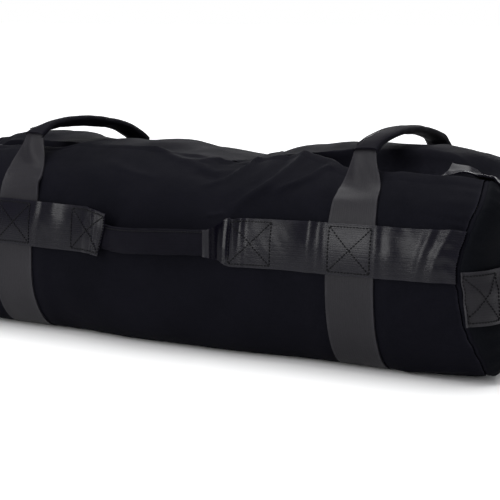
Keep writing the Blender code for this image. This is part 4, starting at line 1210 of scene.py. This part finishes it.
def makeGirthStrap(side):
    # Webbing round the bag at the strap's place, on the cloth up to the last girth at both ends
    # and in the lifted rows from there to the handle.
    girth = np.linspace(-strap["lastGirth"], strap["lastGirth"], strap["rows"])[:, None]
    place, s = strapCentre(side, girth), 2 * np.abs(girth)
    narrowed = rampUp(s, strap["narrowFrom"][side], strap["narrowOver"])
    half = bag["strapWidth"] / 2 * (1 - strap["narrowing"] * narrowed)
    across = np.linspace(-1, 1, strap["columns"])[None, :]
    x = place + across * half
    slackness = rampUp(s, *strap["slackRamp"])
    turns = np.sin(girth * strap["waveTurns"] + 1.7 * side + 1.4 * across)
    wave = strap["wave"] * slackness * (1 + turns)
    ripple = np.clip(across * side * np.sin(girth * strap["rippleTurns"] + side), 0, None)
    wave = wave + strap["ripple"] * slackness * ripple
    low = bag["gap"] + strap["offCloth"] - recessDepth(x, girth)
    low = low + wave * rampDown(s, 2 * strap["lastGirth"], strap["footFade"])
    normal = gridNormal(looseCloth, x, girth)
    inner = looseCloth(x, girth) + normal * low[..., None]
    outer = inner + normal * strap["thickness"]
    outer[..., 2] = np.maximum(outer[..., 2], 0.0)
    inner[..., 2] = np.maximum(inner[..., 2], outer[..., 2].clip(0, 0.0001))
    for end, keep, near in ((front, 0, 1), (rear, -1, -2)):
        rows, outwards = liftedRows(inner[keep], inner[near, strap["columns"] // 2], side, end)
        share = (np.arange(1, strap["lifted"] + 1) / strap["lifted"])[:, None, None]
        turned = smoothStep(share * strap["rounding"])
        outwards = unit(normal[keep][None] * (1 - turned) + outwards * turned)
        rowsOut = rows + outwards * strap["thickness"]
        if end == front:
            inner = np.concatenate([rows[::-1], inner])
            outer = np.concatenate([rowsOut[::-1], outer])
        else:
            inner, outer = np.concatenate([inner, rows]), np.concatenate([outer, rowsOut])
    name = sideNames[side]
    piece = slabPiece("girthStrap" + name.title(), outer, inner, looks["greyWebbing"],
                      handleBend(side), (0.0022, 0.002), replaces=[f"girth_strap_{name}"])


for side in (left, right):
    makeGirthStrap(side)
print("girth straps made")

# Top handles


def sleeveRings(centres, wideAxis, thickAxis, halfWide, halfThick, seed, seamAngle, endScale=1.0):
    # Padded tube: a rounded outline with soft dimples and a raised seam, and the flat hole in it.
    angle = roundAngles(sleeve["around"])
    share = np.linspace(0, 1, len(centres))
    wide, thick = oval(halfWide, halfThick, sleeve["roundness"], sleeve["around"])
    along, around = distanceAlong(centres)[:, None], angle[None, :] * sleeve["dimpleRadius"]
    dimple = 1 + sleeve["dimple"] * softNoise(along, around, sleeve["dimpleSize"], seed)
    pinch = np.exp(-((np.minimum(share, 1 - share) / sleeve["endReach"]) ** 2))
    dimple = dimple - sleeve["endPinch"] * pinch[:, None]
    dimple = dimple * (1 - (1 - endScale) * smoothStep(1 - share / sleeve["taperReach"]))[:, None]
    fromSeam = (angle - seamAngle + math.pi) % (2 * math.pi) - math.pi
    seam = sleeve["seam"] * np.exp(-((fromSeam / sleeve["seamHalf"]) ** 2))
    wide, thick = wide + seam * np.cos(angle), thick + seam * np.sin(angle)
    outer = ringsAlong(centres, wideAxis, thickAxis, wide * (0.5 + 0.5 * dimple), thick * dimple)
    holeWide = topHandle["foldedWidth"] / 2 - sleeve["holeInset"]
    holeThick = (topHandle["foldedThickness"] / 2 + sleeve["holeRoom"]) * endScale
    hole = oval(holeWide, holeThick, sleeve["holeRoundness"], sleeve["around"])
    return np.concatenate([outer, ringsAlong(centres, wideAxis, thickAxis, *hole)[::-1]])


def makeTopHandle(side):
    # The strap's webbing folded narrow, the padded sleeve round it and the stitches of its seam.
    name, handle = sideNames[side], topHandle
    centres, wide, thick = handleLine(side, handle["rows"])
    folded = oval(handle["foldedWidth"] / 2 - strip["slimWide"],
                  handle["foldedThickness"] / 2 - strip["slimThick"],
                  strip["roundness"], strip["around"])
    inside = slice(6, -6)
    rings = ringsAlong(centres[inside], wide[inside], thick[inside], *folded)
    piece = tubePiece("topHandleWebbing" + name.title(), rings, looks["greyWebbing"],
                      handleBend(side), replaces=[f"top_handle_webbing_{name}"])
    halfWide, halfThick = handle["sleeveWide"], handle["sleeveThick"]
    rings = sleeveRings(centres, wide, thick, halfWide, halfThick, 40 + side, handle["seamAngle"])
    piece = tubePiece("topHandleSleeve" + name.title(), rings, looks["sleeveCloth"],
                      handleBend(side), closed=True, replaces=[f"top_handle_sleeve_{name}"])
    seamLine = centres - wide * (halfWide * handle["seamAt"])
    seamLine = seamLine + thick * (halfThick * handle["seamAt"])
    lines = [(seamLine[sewn], thick[sewn])]
    makeStitches("topHandleStitches" + name.title(), handleBend(side), lines)


for side in (left, right):
    makeTopHandle(side)
print("top handles made")

# Front and rear bands with their handles

band = dict(
    height=0.120, width=0.0468, thickness=0.0018, outerEnd=0.3132, columns=17,
    looseRows=48, rows=120,
    hop=0.009, overStrap=0.0006, offCloth=0.0002, bulgeEnd=0.3125, bulgeFade=0.008,
    boxHalf=0.0205, crossingHalf=0.0220,
    anchorBox={left: (0.0760, 0.1145), right: (0.0750, 0.1200)},
    # Places given with each loose end's handle joint; nothing bends between them
    bend={(front, left): (0.104, 0.056), (front, right): (0.078, 0.055),
          (rear, left): (0.079, 0.056), (rear, right): (0.079, 0.056)},
    slant=0.0135, curl=0.0040, curlRamp=(0.62, 0.38),  # of the front left band's loose end
    looseRamp=(0.0008, 0.004),  # lifts over which the webbing turns to face straight out
    bulgeSlant=0.06, endBulgeSlant=0.24, endBulgesFrom=250, bulgeShare=0.75, bulgeGrowth=9.0,
    # Sag of its middle line along the front, from the left end to the right, in mm
    sag=((-314, 1.5), (-201, 1.0), (-120, -0.7), (-80, -1.6), (-60, -3.6), (40, -2.2), (66, -1.0),
         (150, 0.8), (314, 1.8)),
)
# Loose end of each band where it gathers towards the handle: place, lift and width, in mm
gathers = {
    (front, right): ((52, 13.5, 27), (56.5, 15, 27.3), (60, 14.5, 29), (62.5, 9, 32.5),
                     (64.5, 3.2, 36.5), (67.5, 1.0, 42), (71, 0.7, 45.6), (74, 1.4, 46.4),
                     (77, 3.3, 46.8), (80, 3.7, 46.8), (86, 1.9, 46.8), (94, 0.5, 46.8)),
    (front, left): ((75, 10.2, 46.8), (79, 9.4, 46.8), (84, 7.4, 46.8), (92, 3.0, 46.8),
                    (102, 0.5, 46.8)),
}
for end in (left, right):
    gathers[rear, end] = ((50, 12.0, 27), (56, 11.5, 28), (70, 2.2, 45), (79, 0.6, 46.8))
# Slack bulges of the bands: place along the bag, height, and half length before and after, in mm
bulges = {
    front: ((-139, 2.6, 10, 10), (-240, 1.6, 9, 9), (-275, 1.5, 8, 8), (161, 3.0, 16, 5),
            (277, 1.6, 5, 6), (294, 2.4, 7, 7)),
    rear: ((-250, 1.8, 10, 10), (-150, 1.6, 9, 9), (-120, 1.2, 6, 6), (130, 1.9, 9, 9),
           (160, 1.4, 6, 6), (260, 2.0, 8, 8), (288, 1.6, 6, 6)),
}


def strapHop(x, girth):
    # How far a band stands off where it passes over a girth strap.
    over = smoothStep(1 - (offStrap(x, girth) - band["overStrap"]) / band["hop"])
    return (bag["webbingThickness"] + band["overStrap"]) * over


def bandSag(face, x):
    # Droop of a band's middle line; the rear one hangs straight.
    return easedSteps(x, *inMetres(band["sag"])) if face == front else np.zeros_like(x)


def bandWave(face, x, across):
    # Slack bulges: height exp(-(d / half)^2), slanting with the distance across the band.
    wave = np.full(x.shape, band["offCloth"])
    for middle, height, before, after in bulges[face]:
        nearEnd = middle > band["endBulgesFrom"]
        away = x - 0.001 * middle - band["endBulgeSlant" if nearEnd else "bulgeSlant"] * across
        away = away / (0.001 * np.where(away < 0, before, after))
        grown = band["bulgeShare"] + band["bulgeGrowth"] * across
        wave = wave + 0.001 * height * grown * np.exp(-(away**2))
    return wave


def bandSurface(face, end, place, across, lift=0.0):
    # Outer face of a band: the cloth's face at the band's height, plus the hop over the strap,
    # slow waves along it and the gathered end's lift and narrowing.
    places, lifts, widths = inMetres(gathers[face, end])
    width = easedSteps(place, places, widths) / band["width"]
    raised = np.where(place < places[-1], easedSteps(place, places, lifts), lifts[-1])
    z = band["height"] + across * width
    if (face, end) == (front, left):
        loosened = rampDown(place, places[-1], places[-1] - places[0])
        upShare = across / band["width"] + 0.5
        place = place - band["slant"] * upShare * loosened
        raised = raised + band["curl"] * rampUp(upShare, *band["curlRamp"]) * loosened**2
    x = end * place
    sag = bandSag(face, x)
    middle, z = band["height"] + sag, z + sag
    girth = girthAtZ(x, z, face)
    base, level = looseCloth(x, girth), looseCloth(x, girthAtZ(x, middle, face))
    normal = gridNormal(looseCloth, x, girth, 0.003, 0.004)
    loose = rampUp(raised, *band["looseRamp"])
    out = np.array([0, float(face), 0])
    normal = unit(normal * (1 - loose[..., None]) + out * loose[..., None])
    base[..., 1] += (level[..., 1] - base[..., 1]) * loose
    wave = bandWave(face, x, across) * rampDown(place, band["bulgeEnd"], band["bulgeFade"])
    total = bag["gap"] + raised + strapHop(x, girth) + wave + band["thickness"] + lift
    return base + normal * total[..., None], normal


def bandBend(face, end):
    # The bag, the handle's joint and the band's root and tip; the pieces are attached to neither.
    root, tip = band["bend"][face, end]
    at = lambda place: (end * place, face * bag["width"] / 2, band["height"])
    return "bag", f"{faceNames[face]}_handle", at(root), at(tip)


def makeBand(face, end):
    # The band's surface over a grid that is finer in the loose end, with its two sewn boxes.
    first, last = (0.001 * gathers[face, end][k][0] for k in (0, -1))
    places = np.concatenate([
        np.linspace(first, last, band["looseRows"]),
        np.linspace(last, band["outerEnd"], band["rows"])[1:],
    ])[:, None]
    across = np.linspace(-0.5, 0.5, band["columns"])[None, :] * band["width"]
    outer, normal = bandSurface(face, end, *np.broadcast_arrays(places, across))
    inner = outer - normal * band["thickness"]
    name = faceNames[face] + "Band" + sideNames[end].title()
    piece = slabPiece(name, outer, inner, looks["darkWebbing"], bandBend(face, end),
                      (0.0020, 0.002), replaces=[f"{faceNames[face]}_band_{sideNames[end]}"])
    surface = lambda p, a: bandSurface(face, end, p, a, stitch["aboveWebbing"])
    middle, half = end * float(strapCentre(end, face * 0.28)), band["crossingHalf"]
    lines = []
    for low, high in (band["anchorBox"][end], (middle - half, middle + half)):
        lines += crossBox(surface, low, high, band["boxHalf"])
    makeStitches(name + "Stitches", bandBend(face, end), lines)


looseHandle = dict(stripHalf=(0.0110, 0.0015), sleeveHalf=(0.0130, 0.0045),
                   seamAngle=0.10 * math.pi, seamAt=(0.0109, 0.0034))


def makeLooseHandle(pattern, node, body, webbingLine, sleeveLine, seed, endScale=1.0):
    # Folded webbing, the padded sleeve round it and the stitches of its seam, along two lines
    # given as points with the directions of their width and thickness. The pattern has {} in it
    # for the kind of piece.
    folded = oval(*looseHandle["stripHalf"], strip["roundness"], strip["around"])
    piece = tubePiece(pattern.format("Webbing"), ringsAlong(*webbingLine, *folded),
                      looks["darkWebbing"], body, replaces=[f"{node}_webbing"])
    centres, wide, thick = sleeveLine
    halfWide, halfThick = looseHandle["sleeveHalf"]
    rings = sleeveRings(centres, wide, thick, halfWide, halfThick, seed,
                        looseHandle["seamAngle"], endScale)
    piece = tubePiece(pattern.format("Sleeve"), rings, looks["sleeveCloth"], body, closed=True,
                      replaces=[f"{node}_sleeve"])
    up, out = looseHandle["seamAt"]
    seamLine, facing = centres + wide * up + thick * out, unit(thick + 0.4 * wide)
    makeStitches(pattern.format("Stitches"), body, [(seamLine[sewn], facing[sewn])])


sideHandle = dict(
    footDistance=0.064, footLift=0.0070, middleLift=0.017, power=3.0,
    webbing={front: (-0.0750, 0.0590), rear: (-0.062, 0.062)}, webbingRows=60,
    sleeve={front: (-0.0850, 0.0600), rear: (-0.052, 0.052)}, sleeveRows=70,
    endScale={front: 0.62, rear: 1.0},
    # The left end of the front one droops and is tucked in
    droop=-0.0030, droopRamp=(-0.05, 0.09), tuck=0.0024, tuckRamp=(-0.070, 0.014),
)


def sideHandleLine(face, low, high, count):
    # Lift over the face: foot + (middle - foot)(1 - |x / reach|^3), with the directions of width
    # and thickness.
    x = np.linspace(low, high, count)
    share = np.clip(np.abs(x) / sideHandle["footDistance"], 0, 1)
    foot, middle = sideHandle["footLift"], sideHandle["middleLift"]
    lift = foot + (middle - foot) * (1 - share ** sideHandle["power"])
    centres = archPoint(x, girthAtZ(x, np.full(count, band["height"]), face))
    centres = centres + np.array([0, float(face), 0]) * lift[:, None]
    if face == front:
        droop = sideHandle["droop"] * (1 - rampUp(x, *sideHandle["droopRamp"]))
        centres[:, 2] += bandSag(face, x) + droop
        centres[:, 1] += sideHandle["tuck"] * rampDown(x, *sideHandle["tuckRamp"])
    wide = np.broadcast_to(upwards, centres.shape)
    thick = unit(np.cross(unit(np.gradient(centres, axis=0)), wide))
    return centres, wide, thick * np.sign(thick[:, 1:2] * face)


def makeSideHandle(face):
    # The handle between a face's bands; the rear one follows its joint, the front one no body.
    name = faceNames[face]
    body = bandBend(front, left) if face == front else f"{name}_handle"
    webbingLine, sleeveLine = (
        sideHandleLine(face, *sideHandle[part][face], sideHandle[part + "Rows"])
        for part in ("webbing", "sleeve")
    )
    makeLooseHandle(name + "Handle{}", f"{name}_handle", body, webbingLine, sleeveLine,
                    50 + face, sideHandle["endScale"][face])


for face in (front, rear):
    for end in (left, right):
        makeBand(face, end)
    makeSideHandle(face)
print("bands and side handles made")

# End handles

endHandle = dict(
    height=0.0845, outer=0.1275, anchor=0.060, foot=0.052, footLift=0.0085, middleLift=0.017,
    width=0.050, narrow=0.026, thickness=0.0018, offPanel=0.0003, loose=0.006, atSeam=0.0025,
    wave=0.0005, waveTurns=190, waveFade=0.01, seamSlope=0.2, box=(0.0925, 0.1262),
    boxHalf=0.0215, looseRows=14, rows=44, columns=13,
    webbingReach=0.051, webbingRows=50, sleeveReach=0.046, sleeveRows=56, bendPlace=0.345,
)


def endAnchorSurface(side, end, place, across, lift=0.0):
    # Webbing on the end panel that narrows and lifts off towards the loose handle. Low down its
    # outer end follows the seam.
    foot, outer, height = endHandle["foot"], endHandle["outer"], endHandle["height"]
    anchor = endHandle["anchor"]
    share = rampDown(place, anchor, anchor - foot + endHandle["loose"])
    width = 1 + (endHandle["narrow"] / endHandle["width"] - 1) * share
    z = height + across * width
    atSeam = np.abs(archPoint(halfLength, girthAtZ(halfLength, z, 1))[..., 1]) + endHandle["atSeam"]
    atSeam = atSeam + endHandle["seamSlope"] * np.clip(height - z, 0, None)
    y = end * (foot + (place - foot) * np.minimum(1, (atSeam - foot) / (outer - foot)))
    out = np.array([float(side), 0, 0])
    normal = unit(endFaceNormal(side, y, z) * (1 - share[..., None]) + out * share[..., None])
    waves = endHandle["wave"] * (1 + np.sin(place * endHandle["waveTurns"] + 1))
    waves = waves * rampDown(place, outer, endHandle["waveFade"])
    total = bag["gap"] + endHandle["offPanel"] + waves + endHandle["thickness"] + lift
    total = total + (endHandle["footLift"] + 0.001) * share
    return endFace(side, y, z) + normal * total[..., None], normal


def makeEndAnchor(side, end):
    # One end of the handle's webbing, sewn to the panel with a box and a cross.
    name, where = sideNames[side], faceNames[end]
    foot, anchor = endHandle["foot"], endHandle["anchor"]
    places = np.concatenate([
        np.linspace(foot - endHandle["loose"], anchor, endHandle["looseRows"]),
        np.linspace(anchor, endHandle["outer"], endHandle["rows"])[1:],
    ])[:, None]
    across = np.linspace(-0.5, 0.5, endHandle["columns"])[None, :] * endHandle["width"]
    outer, normal = endAnchorSurface(side, end, *np.broadcast_arrays(places, across))
    inner = outer - normal * endHandle["thickness"]
    at = lambda place: (side * endHandle["bendPlace"], end * place, endHandle["height"])
    bend = "bag", f"end_handle_{name}", at(anchor), at(foot - 0.002)
    piece = slabPiece(f"endAnchor{name.title()}{where.title()}", outer, inner,
                      looks["greyWebbing"], bend, (0.0020, 0.002),
                      replaces=[f"end_anchor_{name}_{where}"])
    surface = lambda p, a: endAnchorSurface(side, end, p, a, stitch["aboveWebbing"])
    lines = crossBox(surface, *endHandle["box"], endHandle["boxHalf"])
    makeStitches(f"endAnchorStitches{name.title()}{where.title()}", "bag", lines)


def endHandleLine(side, reach, count):
    # The dome's depth at the handle's height, plus foot + (middle - foot)(1 - |y / reach|^3).
    y = np.linspace(-reach, reach, count)
    share = np.clip(np.abs(y) / endHandle["foot"], 0, 1)
    foot, middle = endHandle["footLift"], endHandle["middleLift"]
    lift = foot + (middle - foot) * (1 - share**3)
    fromMiddle = np.hypot(y, endHandle["height"] - endPanel["middle"]) / (bag["width"] / 2)
    dome = 1 - np.clip(fromMiddle, 0, 1) ** endPanel["rimPower"]
    dome = endPanel["bulge"] * dome ** (1 / endPanel["depthPower"])
    x = side * (endPanel["rim"] + dome + lift)
    centres = np.stack([x, y, np.full(count, endHandle["height"])], axis=1)
    wide = np.broadcast_to(upwards, centres.shape)
    thick = unit(np.cross(unit(np.gradient(centres, axis=0)), wide))
    return centres, wide, thick * np.sign(thick[:, :1] * side)


def makeEndHandle(side):
    # Both anchors on an end panel and the padded handle between them.
    name = sideNames[side]
    for end in (front, rear):
        makeEndAnchor(side, end)
    webbingLine, sleeveLine = (
        endHandleLine(side, endHandle[part + "Reach"], endHandle[part + "Rows"])
        for part in ("webbing", "sleeve")
    )
    makeLooseHandle("endHandle{}" + name.title(), f"end_handle_{name}", f"end_handle_{name}",
                    webbingLine, sleeveLine, 60 + side)


for side in (left, right):
    makeEndHandle(side)
print("end handles made")

# Hem over the front crest of the zip, tapes, teeth and end tabs

zipParts = dict(
    hemDown=0.011, hemOver=0.0016, hemThickness=0.0010, hemRows=230,
    hemSteps=(-1.0, -0.5, 0.0, 0.12, 0.28, 0.5, 0.75, 1.0),  # from behind the crest down
    hemThinning=0.9, hemOff=0.0001, hemSunk=0.0007, sunkRamp=(0.55, 0.45),
    half=0.256, tapeNear=0.0036, tapeWidth=0.008, tapeTop=0.1757, tapeThickness=0.001, tapeRows=180,
    tapeRipple=0.0001, toothPitch=0.0017, toothGap=0.00085, toothReach=0.0033, toothHeight=0.0026,
    toothHalf=0.00042, toothCorner=0.92, toothAround=8,
)
zipTab = dict(
    start=0.2690, half=0.0215, innerHalf=0.0150, widening=0.036, frontSpare=0.006, sag=0.0115,
    sagOver=0.026, thickness=0.0018, columns=13, rows=26, downRows=16, offSeam=0.0018,
    offCloth=0.0006, rearEdge=0.0030, edgeRamp=(0.25, 0.75), hollow=0.0016, foldRows=(20, 30),
    rearLift=0.0032, liftAt=0.288, liftHalf=0.010, seamRamp=(0.300, 0.012), freeRamp=(0.296, 0.024),
    downTurns=(0.04, 0.42), downRamp=(0.06, 0.2), offPanel=0.0007,
)


def makeHem():
    # A folded strip over the front crest, thickest on the crest and fading out below it.
    x = np.linspace(-shell["end"], shell["end"], zipParts["hemRows"])[:, None]
    frontCrest, _ = lipCrests(x)
    steps = np.array(zipParts["hemSteps"])[None, :]
    y = frontCrest - steps * np.where(steps < 0, zipParts["hemOver"], zipParts["hemDown"])
    girth = girthAtY(x, y)
    normal = gridNormal(clothPoint, x, girth, 0.003, 0.002)
    thick = zipParts["hemThickness"] * (1 - zipParts["hemThinning"] * smoothStep(steps * 1.1))
    low = zipParts["hemOff"] - zipParts["hemSunk"] * rampUp(steps, *zipParts["sunkRamp"])
    outer, inner = (clothPoint(x, girth) + normal * lift[..., None] for lift in (low + thick, low))
    # The hem's rubbed edge behind the crest takes the worn colour: a painted highlight along the
    # crest.
    piece = slabPiece("zipHem", outer, inner, looks["bagCloth"], "bag", (0.0005, 0.0005),
                      replaces=["zip_placket"])


def makeZipTape(direction, name):
    # A flat tape with a slight ripple.
    x = np.linspace(-zipParts["half"], zipParts["half"], zipParts["tapeRows"])[:, None]
    share = np.linspace(0, 1, 6)[None, :]
    y = -bag["zipDistance"] + direction * (zipParts["tapeNear"] + zipParts["tapeWidth"] * share)
    ripple = zipParts["tapeRipple"] * (1 + np.sin(x / 0.004)) * np.sin(share * math.pi)
    top = np.stack(np.broadcast_arrays(x, y, zipParts["tapeTop"] - ripple), axis=-1)
    under = top - upwards * zipParts["tapeThickness"]
    piece = slabPiece("zipTape" + name.title(), top, under, looks["zipTape"], "bag",
                      (0.001, 0.001), replaces=[f"zip_tape_{name}"])


def makeZipTeeth(direction, name):
    # One rounded block, a ring of eight at four stations (reach, size), repeated along the tape.
    half, tooth = zipParts["half"], zipParts["toothHeight"] / 2
    count = int(2 * half / zipParts["toothPitch"])
    offset = 0.25 if direction > 0 else 0.75  # the two rows mesh
    centre = -half + (np.arange(count) + offset) * 2 * half / count
    around = zipParts["toothAround"]
    angle = roundAngles(around) + math.pi / around
    reach = zipParts["toothReach"] - zipParts["toothGap"]
    stations = np.array([(0.0, 0.55), (0.0005, 1.0), (0.0018, 0.82), (reach, 0.70)])[None, :, :]
    place, size = stations[..., :1], stations[..., 1:]
    corner = zipParts["toothCorner"]
    level = zipParts["tapeTop"] - zipParts["tapeThickness"] / 2
    rings = np.stack(np.broadcast_arrays(
        centre[:, None, None] + zipParts["toothHalf"] * size * np.cos(angle) / corner,
        -bag["zipDistance"] + direction * (zipParts["toothGap"] + place),
        level + tooth * size * np.sin(angle) / corner,
    ), axis=-1)
    faces = tubeFaces(count, stations.shape[1], around, direction < 0)
    piece = addPiece("zipTeeth" + name.title(), rings, faces, looks["zipCoil"], "bag",
                     replaces=[f"zip_teeth_{name}"])


def makeZipTab(side):
    # Webbing that bridges the end of the trough, bends over the end seam and runs down the panel.
    across = np.linspace(-1, 1, zipTab["columns"])[None, :]
    x = np.linspace(zipTab["start"], endPanel["rim"], zipTab["rows"])[:, None]
    wider = rampUp(x, zipTab["start"], zipTab["widening"])
    half = zipTab["innerHalf"] + (zipTab["half"] - zipTab["innerHalf"]) * wider
    y = -bag["zipDistance"] + side * across * half
    y = y + zipTab["frontSpare"] * np.clip(-side * across, 0, 1) * wider
    girth = girthAtY(side * np.minimum(x, halfLength), y)
    normal = gridNormal(archPoint, side * np.minimum(x, halfLength - 0.001), girth, 0.0005, 0.002)
    seam, free = rampUp(x, *zipTab["seamRamp"]), rampDown(x, *zipTab["freeRamp"])
    rearEdge = rampUp(side * across, *zipTab["edgeRamp"])
    sagging = zipTab["sag"] * (1 - rampUp(x, zipTab["start"], zipTab["sagOver"]))
    shaped = free * (zipTab["rearEdge"] * rearEdge - zipTab["hollow"] * (1 - across**2))
    lift = zipTab["offCloth"] + zipTab["offSeam"] * seam - sagging + shaped
    fromLift = (x - zipTab["liftAt"]) / zipTab["liftHalf"]
    lift = lift + zipTab["rearLift"] * rearEdge * np.exp(-(fromLift**2))
    level = archPoint(side * x, girth) + normal * lift[..., None]
    turn = np.linspace(*zipTab["downTurns"], zipTab["downRows"])[:, None] * math.pi / 2
    turn, girth = np.broadcast_arrays(turn, girthAtY(side * halfLength, y[-1:]))
    around = endDome(side, turn, girth + 0.002) - endDome(side, turn, girth - 0.002)
    lower = np.clip(turn - 0.01, 0, None)
    inwards = endDome(side, turn + 0.01, girth) - endDome(side, lower, girth)
    downNormal = unit(np.cross(around, inwards) * side)
    over = zipTab["offSeam"] * (1 - rampUp(turn, *zipTab["downRamp"])) + zipTab["offPanel"]
    inner = np.concatenate([level, endDome(side, turn, girth) + downNormal * over[..., None]])
    normals = np.concatenate([normal, downNormal])
    start, end = zipTab["foldRows"]  # over the seam the normals turn evenly
    share = np.linspace(0, 1, end - start)[:, None, None]
    normals[start:end] = unit(normals[start - 1] * share[::-1] + normals[end] * share)
    outer = inner + normals * zipTab["thickness"]
    name = sideNames[side]
    piece = slabPiece("zipTab" + name.title(), outer, inner, looks["darkWebbing"], "bag",
                      (0.0018, 0.002), replaces=[f"zip_tab_{name}"])


makeHem()
for direction, name in ((-1, "front"), (1, "rear")):
    makeZipTape(direction, name)
    makeZipTeeth(direction, name)
for side in (left, right):
    makeZipTab(side)
print("zip made")

# Inner bags

innerBag = dict(
    middleGap=0.010, endGap=0.012, closure=0.0025, lower=(0.230, 0.094), upper=(0.222, 0.070),
    roundness=2.3, mouth=0.12, rows=64, around=72, skin=0.0006, crease=0.0006, creaseSize=0.02,
)


def makeInnerBag(side, level, number):
    # Rounded box section carried along x, tapered at the far end by (1 - s^4)^(1/4) and a little
    # at the mouth, with shallow creases that only go inwards.
    floorZ = 0.002 + 2 * bag["gap"] + bag["webbingThickness"]
    width, height = innerBag["lower"]
    if level == "upper":
        floorZ += height + bag["gap"]
        width, height = innerBag["upper"]
    start = innerBag["middleGap"] / 2 + innerBag["closure"] + bag["gap"]
    end = halfLength - innerBag["endGap"]
    middle, half = (start + end) / 2, (end - start) / 2
    share = np.sin(np.linspace(math.asin(0.99), -math.pi / 2, innerBag["rows"]))[:, None]
    mouth = 1 - innerBag["mouth"] * np.clip(-share, 0, None) ** 3
    taper = (1 - np.clip(share, 0, None) ** 4) ** 0.25 * mouth
    y, z = oval(1, 1, innerBag["roundness"], innerBag["around"])
    around = roundAngles(innerBag["around"])[None, :] * 0.05
    skins = []
    for inset in (0.0, innerBag["skin"]):
        x = side * (middle + (half - inset) * share)
        creases = softNoise(x, around, innerBag["creaseSize"], 70 + number)
        shrink = inset + innerBag["crease"] * np.abs(creases)
        skins.append(np.stack(np.broadcast_arrays(
            x, y * (width / 2 * taper - shrink),
            floorZ + height / 2 + z * (height / 2 * taper - shrink),
        ), axis=-1))
    rings = np.concatenate([skins[0], skins[1][::-1]])
    piece = tubePiece(f"innerBag{number}", rings, looks["linerCloth"], "bag",
                      replaces=[f"filler_bag_{number}"])


for number, (level, side) in enumerate(
    [(level, side) for level in ("lower", "upper") for side in (left, right)], start=1
):
    makeInnerBag(side, level, number)
print("inner bags made")

# Solid nodes that stay, with their materials

kept = {
    "zipMetal": ["zip_slider", "zip_pull", "zip_stop_left", "zip_stop_right"],
    "drySand": [f"sand_load_{k}" for k in (1, 2, 3, 4)],
    "zipCoil": [f"filler_closure_{k}" for k in (1, 2, 3, 4)],
}
for look, names in kept.items():
    for name in names:
        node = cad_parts[name]
        if not node.material_slots:
            node.data.materials.append(looks[look])
        for holder in node.material_slots:
            holder.material = looks[look]
